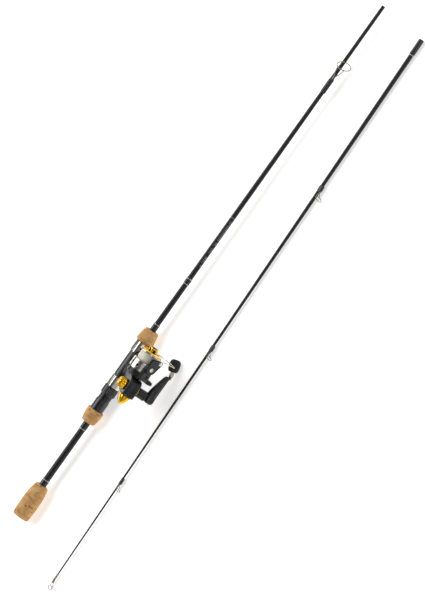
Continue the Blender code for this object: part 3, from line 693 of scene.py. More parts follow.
@dataclass(frozen=True)
class Cork(Finish):
    """Ground cork: soft tan mottling, glued rings, fine grain, and dark pits."""

    pale: Colour = (0.74, 0.445, 0.190)
    tan: Colour = (0.60, 0.330, 0.120)
    brown: Colour = (0.30, 0.135, 0.045)
    dark: Colour = (0.20, 0.090, 0.032)

    def material(self) -> bpy.types.Material:
        """Mix mottling, streaks and pits, and sink the pits.

        Returns:
            The material.
        """
        graph = Graph(self.name)
        mottle = graph.noise(95.0, 5.0, rough=0.62)
        grain = graph.noise(900.0, 3.0, rough=0.7)
        streaks = graph.noise(210.0, 4.0, graph.stretched((1.0, 0.32, 0.32)), 0.65)
        pits = graph.cells(230.0, graph.stretched((1.0, 0.45, 0.6), (0.3, 0.2, 0.5)))
        spots = graph.noise(140.0, 2.0)
        pit = pits.ramp(0.10, 0.26, 1.0, 0.0) * spots.ramp(0.47, 0.58)
        along = graph.node("ShaderNodeSeparateXYZ", {}, {0: graph.place()}, "X")
        joint = ((along * (1.0 / 0.0127)).math("FRACT") - 0.5).math("ABSOLUTE").ramp(
            0.485, 0.5) * 0.35
        base = graph.mix(mottle.ramp(0.38, 0.62), self.tan, self.pale)
        base = graph.mix(streaks.ramp(0.50, 0.64) * 0.62, base, self.brown)
        base = graph.mix(grain.ramp(0.35, 0.75) * 0.25, base, self.pale)
        base = graph.mix(joint, base, self.brown)
        base = graph.mix(pit, base, self.dark)
        normal = graph.bump(grain - pit * 2.0 + streaks * 0.4, 0.25)
        return graph.finish(Base_Color=base, Roughness=grain.ramp(0.2, 0.8, 0.72, 0.92),
                            Normal=normal, Specular_IOR_Level=0.3)


@dataclass(frozen=True)
class Carbon(Finish):
    """A carbon blank: crossed tape under thin resin, with faint ridges along it."""

    dark: Colour = (0.0035, 0.0037, 0.0045)
    light: Colour = (0.022, 0.023, 0.027)
    strands: int = 10
    lay: float = 3.2
    marking: bool = False
    bars: tuple[float, float] = (413.0, 487.0)
    bar_gap: tuple[float, float] = (430.0, 434.0)
    bar_step: float = 2.3
    band: tuple[float, float] = (491.3, 492.4)

    def material(self) -> bpy.types.Material:
        """Cross two sets of strands, each a wave in the turn plus or minus the length.

        Returns:
            The material.
        """
        graph = Graph(self.name)
        turn, along = graph.surface_place()
        one = (turn * self.strands + along / self.lay).sine() * 0.5 + 0.5
        two = (turn * self.strands - along / self.lay).sine() * 0.5 + 0.5
        weave = one * two
        fibre = graph.noise(1500.0, 2.0, graph.stretched((0.06, 1.0, 1.0)))
        cloud = graph.noise(60.0, 3.0)
        base = graph.mix(weave * fibre.ramp(0.3, 0.7, 0.6, 1.0), self.dark, self.light)
        base = graph.mix(cloud.ramp(0.55, 0.8) * 0.25, base, self.light)
        if self.marking:
            base = graph.mix(self._bars(graph, turn, along), base, (0.26, 0.27, 0.28))
        return graph.finish(Base_Color=base, Roughness=weave.ramp(0.0, 1.0, 0.42, 0.30),
                            Normal=graph.bump(weave + fibre * 0.3, 0.05), Coat_Weight=0.12,
                            Coat_Roughness=0.14, Specular_IOR_Level=0.34)

    def _bars(self, graph: Graph, turn: Sock, along: Sock) -> Sock:
        """A plain marking: short bars of uneven length in two lines, and a thin band.

        Args:
            graph: The material's nodes.
            turn: The share of a turn.
            along: The millimetres along.

        Returns:
            The marking's mask.
        """
        (low, high), (gap_low, gap_high) = self.bars, self.bar_gap
        gap = along.above(gap_low) * along.below(gap_high)
        span = along.above(low) * along.below(high) * (1.0 - gap)
        line = ((turn + 0.045).math("FRACT") - 0.045).math("ABSOLUTE")
        rows = line.above(0.012) * line.below(0.10)
        steps = (along / self.bar_step).math("FLOOR") + turn.above(0.5) * 41.0
        random = graph.node("ShaderNodeTexWhiteNoise", {"noise_dimensions": "1D"}, {"W": steps})
        share = (along / self.bar_step).math("FRACT")
        filled = share.ramp(0.62, 0.75, 1.0, 0.0) * random.above(0.25)
        band = along.above(self.band[0]) * along.below(self.band[1])
        return (span * rows * filled * 0.8).math("MAXIMUM", band * 0.8)


@dataclass(frozen=True)
class Varnish(Finish):
    """Thread under clear glossy resin."""

    colour: Colour = (0.0045, 0.0048, 0.006)
    pitch: float = 0.25

    def material(self) -> bpy.types.Material:
        """Lay fine turns of thread under a smooth coat.

        Returns:
            The material.
        """
        graph = Graph(self.name)
        turn, along = graph.surface_place()
        thread = (along / self.pitch + turn).sine() * 0.5 + 0.5
        cloud = graph.noise(220.0, 3.0)
        base = graph.mix(thread * 0.6, self.colour, tuple(4.0 * part for part in self.colour))
        return graph.finish(Base_Color=base, Roughness=cloud.ramp(0.3, 0.7, 0.14, 0.28),
                            Normal=graph.bump(cloud + thread * 0.15, 0.06), Coat_Weight=0.4,
                            Coat_Roughness=0.05, Specular_IOR_Level=0.4)


@dataclass(frozen=True)
class Glitter(Finish):
    """Metallic trim thread with painted glints: short stretches of its turns get a bright base
    colour, the rest a dark painted shade.
    """

    colour: Colour = (0.82, 0.83, 0.85)
    painted_shade_colour: Colour = (0.20, 0.20, 0.22)

    def material(self) -> bpy.types.Material:
        """Paint glints: vary the base colour's brightness over short stretches of thread.

        Returns:
            The material.
        """
        graph = Graph(self.name)
        turn, along = graph.surface_place()
        painted_glint_noise = graph.noise(1400.0, 2.0, rough=0.7)
        thread = (along / 0.25 + turn).sine() * 0.5 + 0.5
        # Painted glints and painted shade: the noise picks a bright or a dark base colour for each
        # stretch of thread.
        base = graph.mix(painted_glint_noise.ramp(0.40, 0.62), self.painted_shade_colour, self.colour)
        return graph.finish(Base_Color=base, Roughness=painted_glint_noise.ramp(0.3, 0.7, 0.20, 0.45),
                            Metallic=0.85, Normal=graph.bump(thread + painted_glint_noise, 0.06))


@dataclass(frozen=True)
class Plastic(Finish):
    """Moulded plastic: dark, with a fine texture and softly worn sheen."""

    colour: Colour = (0.0065, 0.0072, 0.0100)
    worn: Colour = (0.0150, 0.0170, 0.0230)
    rough: float = 0.32
    coat: float = 0.12
    texture: float = 0.03
    metallic: float = 0.0

    def material(self) -> bpy.types.Material:
        """Lay a fine moulded texture under cloudy sheen.

        Returns:
            The material.
        """
        graph = Graph(self.name)
        fine = graph.noise(2600.0, 2.0)
        cloud = graph.noise(170.0, 4.0, rough=0.6)
        scuffs = graph.noise(700.0, 3.0, graph.stretched((0.15, 1.0, 0.6), (0.2, 0.4, 0.3)))
        base = graph.mix(cloud.ramp(0.40, 0.75), self.colour, self.worn)
        base = graph.mix(scuffs.ramp(0.70, 0.82) * 0.35, base, self.worn)
        roughness = cloud.ramp(0.3, 0.7, self.rough - 0.07, self.rough + 0.09)
        return graph.finish(Base_Color=base, Roughness=roughness, Metallic=self.metallic,
                            Normal=graph.bump(fine + scuffs * 0.4, self.texture),
                            Coat_Weight=self.coat, Coat_Roughness=0.16, Specular_IOR_Level=0.42)


@dataclass(frozen=True)
class Metal(Finish):
    """Bare, plated or anodised metal, with faint tool marks and smudges."""

    colour: Colour = (0.80, 0.78, 0.74)
    shade: Colour = (0.55, 0.53, 0.49)
    rough: float = 0.14
    marks: float = 0.012
    ports: bool = False
    valleys: bool = False

    def material(self) -> bpy.types.Material:
        """Vary colour and gloss by smudges, groove the surface finely, paint shade into the ports'
        bottoms where asked, and darken the lobes' valleys where asked.

        Returns:
            The material.
        """
        graph = Graph(self.name)
        smudge = graph.noise(130.0, 4.0, rough=0.6)
        lines = graph.noise(2400.0, 2.0, graph.stretched((1.0, 0.10, 0.10)))
        base = graph.mix(smudge.ramp(0.42, 0.70), self.colour, self.shade)
        # Painted shade: the bottoms of the skirt's ports get a near-black colour, for the shade
        # inside the ports.
        if self.ports:
            base = graph.mix(self._port_painted_shade(*graph.surface_place()), base, (0.012, 0.012, 0.014))
        if self.valleys:
            base = graph.mix(self._valley(*graph.surface_place()), base, (0.010, 0.013, 0.024))
        return graph.finish(Base_Color=base, Metallic=1.0,
                            Roughness=smudge.ramp(0.3, 0.7, self.rough * 0.75, self.rough * 1.5),
                            Normal=graph.bump(lines, self.marks))

    @staticmethod
    def _valley(turn: Sock, along: Sock) -> Sock:
        """Mask the dark valleys between the drag knob's lobes.

        Args:
            turn: The share of a turn.
            along: The millimetres along.

        Returns:
            One in a valley.
        """
        dip = ((turn * Spool.knob_lobes).math("FRACT") - 0.5).math("ABSOLUTE").below(0.27)
        low, high = Spool.knob_valley
        return dip * along.above(low) * along.below(high)

    @staticmethod
    def _port_painted_shade(turn: Sock, along: Sock) -> Sock:
        """Mask the painted shade in the bottoms of the skirt's round ports: a near-black colour for
        the shade inside them.

        Args:
            turn: The share of a turn.
            along: The millimetres along.

        Returns:
            One inside a port.
        """
        round_mm = ((turn * Spool.ports + 0.5).math("FRACT") - 0.5) * (
            TAU * Spool.skirt_radius / Spool.ports)
        reach = (round_mm**2.0 + (along - Spool.port_x)**2.0).math("SQRT")
        return reach.ramp(Spool.port_radius * 0.85, Spool.port_radius * 1.05, 1.0, 0.0)


@dataclass(frozen=True)
class LineFinish(Finish):
    """Translucent nylon line, wound close."""

    colour: Colour = (0.90, 0.87, 0.74)
    shade: Colour = (0.62, 0.60, 0.49)

    def material(self) -> bpy.types.Material:
        """Shade the grooves between the turns.

        Returns:
            The material.
        """
        graph = Graph(self.name)
        turn, along = graph.surface_place()
        thread = (along / Spool.line_pitch + turn).sine() * 0.5 + 0.5
        cloud = graph.noise(300.0, 3.0)
        base = graph.mix((1.0 - thread) * 0.5 + cloud.ramp(0.4, 0.8) * 0.3, self.colour, self.shade)
        return graph.finish(Base_Color=base, Roughness=cloud.ramp(0.3, 0.7, 0.22, 0.38),
                            Normal=graph.bump(cloud, 0.04), Coat_Weight=0.5, Coat_Roughness=0.12)


CORK = Cork("cork", "ground_cork")
CARBON = Carbon("carbon", "carbon_tape")
MARKED_CARBON = Carbon("carbon", "marked_carbon_tape", marking=True)
VARNISH = Varnish("wrap", "varnished_thread")
GLITTER = Glitter("wrap", "trim_thread")
GRAPHITE = Plastic("graphite", "graphite_plastic")
GLOSSY_GRAPHITE = Plastic("graphite", "glossy_graphite_plastic", rough=0.24, coat=0.6)
CHROME = Metal("chrome", "chrome_plate")
# Chrome with painted shade in the bottoms of the spool's ports.
PORTED_CHROME = Metal("chrome", "ported_chrome_plate", ports=True)
STEEL = Metal("steel", "brushed_steel", (0.70, 0.67, 0.60), (0.46, 0.43, 0.37), 0.24, 0.02)
GUIDE_STEEL = Metal("steel", "dark_steel_wire", (0.34, 0.32, 0.28), (0.20, 0.19, 0.165), 0.28,
                    0.02)
GOLD = Metal("gold", "gold_anodised", (0.92, 0.56, 0.035), (0.74, 0.40, 0.02), 0.17, 0.008)
LOBED_GOLD = Metal("gold", "gold_anodised_lobes", (0.92, 0.56, 0.035), (0.74, 0.40, 0.02), 0.17,
                   0.008, valleys=True)
BRASS = Metal("brass", "cut_brass", (0.78, 0.56, 0.26), (0.52, 0.36, 0.15), 0.30, 0.02)
NYLON = LineFinish("line", "nylon_line")
RUBBER = Plastic("rubber", "soft_rubber", (0.0045, 0.0048, 0.0060), (0.0090, 0.0095, 0.0115),
                 0.45, 0.03, 0.05)


# ----------------------------------------------------------------- workshop


class Workshop:
    """Turns surfaces into finished pieces, and dresses the nodes that stay."""

    def __init__(self) -> None:
        """Start with no materials made."""
        self._materials: dict[str, bpy.types.Material] = {}
        self.made: list[bpy.types.Object] = []

    def material(self, finish: Finish) -> bpy.types.Material:
        """Return a finish's one material."""
        if finish.name not in self._materials:
            self._materials[finish.name] = finish.material()
        return self._materials[finish.name]

    def mesh(self, name: str, grids: Iterable[Grid], section: Frame) -> bpy.types.Mesh:
        """Join grids in one mesh, in metres, with its seams and poles merged and its
        faces turned outwards.

        Args:
            name: The mesh's name.
            grids: The surfaces, in the section's frame.
            section: The section's own frame.

        Returns:
            The mesh.
        """
        vertices, faces, places, count = [], [], [], 0
        for grid in grids:
            corners, place = grid.corners()
            faces.append(corners + count)
            places.append(place)
            vertices.append(grid.points.reshape(-1, 3))
            count += len(vertices[-1])
        points = section.place(np.concatenate(vertices)) * MM
        loops = np.concatenate(faces)
        mesh = bpy.data.meshes.new(name)
        mesh.vertices.add(len(points))
        mesh.vertices.foreach_set("co", points.astype(np.float32).ravel())
        mesh.loops.add(loops.size)
        mesh.loops.foreach_set("vertex_index", loops.astype(np.int32).ravel())
        mesh.polygons.add(len(loops))
        mesh.polygons.foreach_set("loop_start", np.arange(0, loops.size, 4, dtype=np.int32))
        mesh.update(calc_edges=True)
        pattern = mesh.uv_layers.new(name="pattern")
        pattern.data.foreach_set("uv", np.concatenate(places).astype(np.float32).ravel())
        shape = bmesh.new()
        shape.from_mesh(mesh)
        bmesh.ops.remove_doubles(shape, verts=shape.verts[:], dist=MERGE)
        bmesh.ops.recalc_face_normals(shape, faces=shape.faces[:])
        if shape.calc_volume(signed=True) < 0.0:
            bmesh.ops.reverse_faces(shape, faces=shape.faces[:])
        shape.to_mesh(mesh)
        shape.free()
        mesh.shade_smooth()
        mesh.set_sharp_from_angle(angle=SHARP)
        return mesh

    def piece(self, name: str, body: Body, grids: Iterable[Grid], finish: Finish,
              nodes: Sequence[str] = (), section: Frame = ROD) -> bpy.types.Object:
        """Make a finished piece that rides on a body and stands for CAD nodes.

        Args:
            name: The piece's name.
            body: The body that it rides on.
            grids: Its surfaces.
            finish: Its finish.
            nodes: The CAD nodes that it stands for.
            section: The section's frame, in which the surfaces are given.

        Returns:
            The piece.
        """
        mesh = self.mesh(name, grids, section)
        mesh.materials.append(self.material(finish))
        made = bpy.data.objects.new(name, mesh)
        bpy.context.scene.collection.objects.link(made)
        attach(made, body.value)
        if nodes:
            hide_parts(*nodes)
        self.made.append(made)
        LOG.info("%s: %d faces on %s", name, len(mesh.polygons), body.value)
        return made

    def dress(self, nodes: Sequence[str], finish: Finish) -> None:
        """Give CAD nodes that stay a finish.

        Args:
            nodes: The nodes' names.
            finish: Their finish.
        """
        for node in nodes:
            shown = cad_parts[node]
            for index in range(max(1, len(shown.material_slots))):
                if index < len(shown.material_slots):
                    shown.material_slots[index].material = self.material(finish)
                else:
                    shown.data.materials.append(self.material(finish))
            LOG.info("%s: CAD node, %s", node, finish.name)


# -------------------------------------------------------------- rod pieces


@dataclass(frozen=True)
class Blank:
    """The two tapering carbon tubes, hollow at their open ends."""

    butt: tuple[Point, ...] = ((2.0, 4.75), (150.0, 4.45), (310.0, 4.0), (415.0, 3.55),
                               (550.0, 3.35), (660.0, 3.0), (740.0, 2.7), (838.5, 2.48))
    bore_share: float = 0.7
    tip: tuple[Point, ...] = ((0.0, 3.25), (249.0, 2.55), (498.5, 1.9), (718.0, 1.3),
                              (873.2, 0.95))
    socket_radius: float = 2.62
    socket_depth: float = 52.0
    ridge: float = 0.025

    def radius(self, outline: Sequence[Point], along: Union[float, Array]) -> Array:
        """The outline's radius at a station, by straight lines between its corners."""
        return np.interp(along, *np.asarray(outline, float).T)

    def _tube(self, outline: Sequence[Point], inner: Sequence[Point], hollow: bool) -> Grid:
        """Turn a tube whose outside has the faint spiral ridge of its wound tape: the
        radius plus a wave in the length minus the turn.

        Args:
            outline: The outside's corners.
            inner: The corners that follow it, back to the start.
            hollow: The tube is open at both ends.

        Returns:
            The surface.
        """
        start, end = outline[0][0], outline[-1][0]
        along = np.concatenate([[start, start + 0.3], np.arange(start + 1.0, end - 1.0, 1.2),
                                [end - 0.3, end]])
        radius = self.radius(outline, along)
        radius[[0, -1]] -= 0.25
        angle = turns(40)[None, :]
        outer = radius[:, None] + self.ridge * np.sin(TAU * along[:, None] / 4.0 - angle)
        back = np.asarray(inner, float)
        full = np.concatenate([along, back[:, 0]])
        sizes = np.concatenate([outer, np.repeat(back[:, 1:], 40, axis=1)])
        return revolved(full, sizes, WORLD, hollow)

    def build(self, shop: Workshop) -> None:
        """Make both blanks.

        Args:
            shop: What makes the pieces.
        """
        bore = [(x, r * self.bore_share) for x, r in reversed(self.butt)]
        shop.piece("butt_blank_tube", Body.BUTT, [self._tube(self.butt, bore, True)],
                   MARKED_CARBON, ["butt_blank"])
        socket = [(self.tip[-1][0], 0.0)]
        tube = self._tube(self.tip, socket, False)
        mouth = turned(((0.0, self.tip[0][1] - 0.25), (0.0, self.socket_radius),
                        (self.socket_depth, self.socket_radius), (self.socket_depth, 0.0)),
                       WORLD, 40, 0.1, hollow=False)
        points = np.concatenate([mouth.points[1:][::-1], tube.points])
        along = np.concatenate([mouth.along[1:][::-1], tube.along])
        shop.piece("tip_blank_tube", Body.TIP, [Grid(points, False, along=along)], CARBON,
                   ["tip_blank"], TIP)


BLANK = Blank()


@dataclass(frozen=True)
class CorkGrips:
    """Three turned cork grips with rounded edges and small dents."""

    bore: float = 5.05
    dent: float = 0.22
    butt: tuple[Point, ...] = ((0.0, 10.9), (0.8, 11.7), (8.0, 12.15), (18.0, 12.5),
                               (28.0, 12.6), (36.0, 12.1), (44.0, 10.9), (48.6, 9.9),
                               (50.4, 9.3), (51.6, 8.0))
    rear: tuple[Point, ...] = ((156.3, 8.8), (157.3, 9.8), (163.3, 11.2), (170.3, 11.9),
                               (175.3, 12.0), (176.1, 11.4))
    fore: tuple[Point, ...] = ((287.4, 12.2), (288.2, 12.8), (293.4, 12.3), (301.2, 11.0),
                               (305.2, 10.2), (306.2, 9.2))

    def _grip(self, outline: Sequence[Point], seed: int) -> Grid:
        """Turn a grip, and sink small dents into it where smooth noise is low.

        Args:
            outline: The outside's corners.
            seed: Which noise.

        Returns:
            The surface.
        """
        start, end = outline[0][0], outline[-1][0]
        outside = respaced(softened(outline, 2.4, steps=6), 0.35)
        faces = [respaced(np.array([(x, self.bore), (x, r)]), 0.6)
                 for x, r in (outline[0], outline[-1])]
        profile = np.vstack([faces[0][:-1], outside, faces[1][-2::-1],
                             [(end - 1.0, self.bore), (start + 1.0, self.bore)]])
        radius = np.repeat(profile[:, 1:], 150, axis=1)
        grid = revolved(profile[:, 0], radius, WORLD, True)
        fine = lumps(grid.points * (1.0, 1.7, 1.7), 1.3, seed)
        broad = lumps(grid.points, 3.5, seed + 1)
        skin = smoothstep(self.bore, self.bore + 1.0, radius)
        sunk = self.dent * smoothstep(0.72, 0.95, fine) + 0.08 * broad
        return revolved(profile[:, 0], radius - sunk * skin, WORLD, True)

    def build(self, shop: Workshop) -> None:
        """Make the grips.

        Args:
            shop: What makes the pieces.
        """
        for seed, (name, outline) in enumerate((("butt_grip", self.butt),
                                                ("rear_grip", self.rear),
                                                ("fore_grip", self.fore))):
            shop.piece(f"{name}_cork", Body.BUTT, [self._grip(outline, 10 * seed)], CORK, [name])
        shop.dress(["butt_plug"], RUBBER)


@dataclass(frozen=True)
class ThreadWraps:
    """Plain thread wraps under resin, with raised metallic trim rings."""

    clearance: float = 0.12
    thickness: float = 0.4
    trim_half: float = 0.55
    trim_rise: float = 0.1

    def wrap(self, shop: Workshop, name: str, start: float, end: float, trims: Sequence[float],
             outline: Sequence[Point] = BLANK.butt, body: Body = Body.BUTT,
             section: Frame = ROD) -> None:
        """Make one wrap and its trim rings.

        Args:
            shop: What makes the pieces.
            name: The CAD node's name.
            start: Where the wrap starts.
            end: Where it ends.
            trims: The trim rings' stations.
            outline: The blank's outline.
            body: The body that it rides on.
            section: The section's frame.
        """
        inner = float(BLANK.radius(outline, start)) + self.clearance
        outer = inner + self.thickness
        profile = ((start, inner), (start, outer), (end, outer), (end, inner))
        shop.piece(f"{name}_thread", body, [turned(profile, WORLD, 48, 0.35)], VARNISH, [name],
                   section)
        rings = [turned(((trim - self.trim_half, outer - 0.2),
                         (trim - self.trim_half, outer + self.trim_rise),
                         (trim + self.trim_half, outer + self.trim_rise),
                         (trim + self.trim_half, outer - 0.2)), WORLD, 48, 0.12)
                 for trim in trims]
        shop.piece(f"{name}_trim", body, rings, GLITTER, (), section)

    def build(self, shop: Workshop) -> None:
        """Make the plain wraps of both sections.

        Args:
            shop: What makes the pieces.
        """
        for name, start, end, trims in (("butt_wrap", 51.9, 61.5, (60.3,)),
                                        ("rear_wrap", 143.8, 156.0, (144.9,)),
                                        ("fore_wrap", 306.5, 317.8, (316.8,)),
                                        ("ornament_wrap", 383.0, 393.0, (384.0, 392.0))):
            self.wrap(shop, name, start, end, trims)
        self.wrap(shop, "ferrule_wrap", 0.4, 25.0, (24.0,), BLANK.tip, Body.TIP, TIP)


@dataclass(frozen=True)
class LineGuide:
    """A wire ring on two legs that end in a hairpin foot under thread.

    Attributes:
        node: The guide's CAD node.
        wrap_node: Its wrap's CAD node.
        ring_x: The ring's station.
        ring_radius: The ring's own radius.
        wire_radius: The wire's radius.
        offset: How far the ring's middle stands from the rod's axis.
        lean: How far the ring leans, in degrees.
        foot: Where the foot starts and ends.
        wrap: Where its wrap starts and ends.
        blank_radius: The blank's radius there.
        body: The body that both ride on.
        section: The frame of their section.
    """

    node: str
    wrap_node: str
    ring_x: float
    ring_radius: float
    wire_radius: float
    offset: float
    lean: float
    foot: tuple[float, float]
    wrap: tuple[float, float]
    blank_radius: float
    body: Body
    section: Frame

    def frame_grids(self) -> list[Grid]:
        """Work out the ring, and the hairpin of wire that carries it.

        Returns:
            The two surfaces.
        """
        lean = math.radians(self.lean)
        across = np.array([math.sin(lean), math.cos(lean), 0.0])
        axis = np.array([math.cos(lean), -math.sin(lean), 0.0])
        centre = np.array([self.ring_x, self.offset, 0.0])
        own = Frame.along(centre, axis, across)
        ring = wire(ring_path(centre, self.ring_radius, own), self.wire_radius, axis, closed=True)
        join = math.radians(32.0)
        foot_y = self.blank_radius + self.wire_radius + 0.15
        foot_z = self.wire_radius * 1.35
        start, end = self.foot
        top = centre - across * self.ring_radius * math.cos(join)
        side = np.array([0.0, 0.0, 1.0])
        legs = [top + side * self.ring_radius * math.sin(join),
                (top + (end, foot_y, 0.0)) / 2.0 + side * (
                    foot_z / 2.0 + self.ring_radius * math.sin(join) / 2.0 + self.wire_radius),
                np.array([end, foot_y, foot_z]), np.array([start + 2.0, foot_y, foot_z]),
                np.array([start + 0.5, foot_y, foot_z * 0.7])]
        mirrored = [knot * (1.0, 1.0, -1.0) for knot in reversed(legs)]
        hairpin = spline([*legs, (start, foot_y, 0.0), *mirrored], 8)
        return [ring, wire(hairpin, self.wire_radius, (0.09, 1.0, 0.0), 12)]

    def wrap_grid(self) -> Grid:
        """Work out the wrap: a sleeve on the blank that bulges over the foot's wires by
        a smooth step in the angle, and thins to its ends.

        Returns:
            The surface.
        """
        start, end = self.wrap
        inner = self.blank_radius + 0.12
        height = 2.0 * self.wire_radius + 0.12
        spread = math.degrees(math.atan2(2.4 * self.wire_radius,
                                         self.blank_radius + self.wire_radius)) + 6.0
        along = np.concatenate([[start, start + 0.1], np.linspace(start + 0.3, end - 0.3, 24),
                                [end - 0.1, end]])
        ends = np.minimum(along - start, end - along)
        thickness = 0.2 + 0.27 * smoothstep(0.0, 1.6, ends)
        angle = turns(64)[None, :]
        over = 1.0 - smoothstep(spread, spread + 30.0, away_from(angle))
        outer = inner + thickness[:, None] + height * over
        hollow = np.broadcast_to(inner + height * 0.9 * over, outer.shape)
        rows = np.concatenate([along, along[::-1]])
        return revolved(rows, np.concatenate([outer, hollow[::-1]]), WORLD, True)

    def build(self, shop: Workshop) -> None:
        """Make the guide and its wrap.

        Args:
            shop: What makes the pieces.
        """
        shop.piece(f"{self.node}_wire", self.body, self.frame_grids(), GUIDE_STEEL, [self.node],
                   self.section)
        shop.piece(f"{self.wrap_node}_thread", self.body, [self.wrap_grid()], VARNISH,
                   [self.wrap_node], self.section)


@dataclass(frozen=True)
class Guides:
    """Every line guide, and the loop at the rod's tip."""

    stripper_x: float = 744.0
    tip_rows: tuple[Point, ...] = ((251.2, 5.0, 0.5, 8.6), (508.4, 4.0, 0.45, 6.9),
                                   (722.7, 3.1, 0.42, 5.6))
    tip_length: float = 884.7
    tube: tuple[float, float] = (861.2, 874.9)
    loop_radius: float = 3.3
    loop_wire: float = 0.45
    loop_lean: float = 50.0
    loop_offset: float = 1.9

    def all_guides(self) -> list[LineGuide]:
        """List the guides of both sections.

        Returns:
            The guides, the stripper first.
        """
        found = [LineGuide("stripper_guide", "stripper_wrap", self.stripper_x, 9.7, 0.65, 11.8,
                           43.0, (701.0, 723.0), (698.0, 720.0),
                           float(BLANK.radius(BLANK.butt, 698.0)), Body.BUTT, ROD)]
        for number, (ring_x, ring_radius, wire_radius, offset) in enumerate(self.tip_rows, 1):
            start, end = ring_x - 17.0, ring_x - 5.5 - ring_radius * 0.6
            found.append(LineGuide(f"guide_{number}", f"guide_wrap_{number}", ring_x, ring_radius,
                                   wire_radius, offset, 24.0, (start + 1.5, end + 1.5),
                                   (start, end), float(BLANK.radius(BLANK.tip, start)), Body.TIP,
                                   TIP))
        return found

    def build(self, shop: Workshop) -> None:
        """Make the guides, the tip's tube and its loop.

        Args:
            shop: What makes the pieces.
        """
        for guide in self.all_guides():
            guide.build(shop)
        start, end = self.tube
        tube = turned(((end - 1.2, 0.0), (end - 1.2, 1.15), (start, 1.15), (start, 1.5),
                       (end - 0.3, 1.5), (end, 1.15), (end, 0.0)), WORLD, 28, 0.12, hollow=False)
        shop.piece("tip_top_sleeve", Body.TIP, [tube], GUIDE_STEEL, ["tip_top_tube"], TIP)
        lean = math.radians(self.loop_lean)
        axis = (math.cos(lean), -math.sin(lean), 0.0)
        centre = (self.tip_length - self.loop_radius * math.sin(lean) - self.loop_wire,
                  self.loop_offset, 0.0)
        own = Frame.along(centre, axis, (math.sin(lean), math.cos(lean), 0.0))
        loop = wire(ring_path(centre, self.loop_radius, own), self.loop_wire, axis, closed=True)
        side = np.array([0.0, 0.0, 1.0])
        legs = [wire(spline(((end - 3.0, 0.9, 1.1 * hand), (end, 1.1, 1.4 * hand),
                             (end + 3.0, 1.5, 2.4 * hand),
                             np.asarray(centre) + side * self.loop_radius * hand), 8),
                     self.loop_wire * 0.9, (0.09, 1.0, 0.0), 12) for hand in (-1.0, 1.0)]
        shop.piece("tip_top_ring", Body.TIP, [loop, *legs], GUIDE_STEEL, ["tip_top_loop"], TIP)


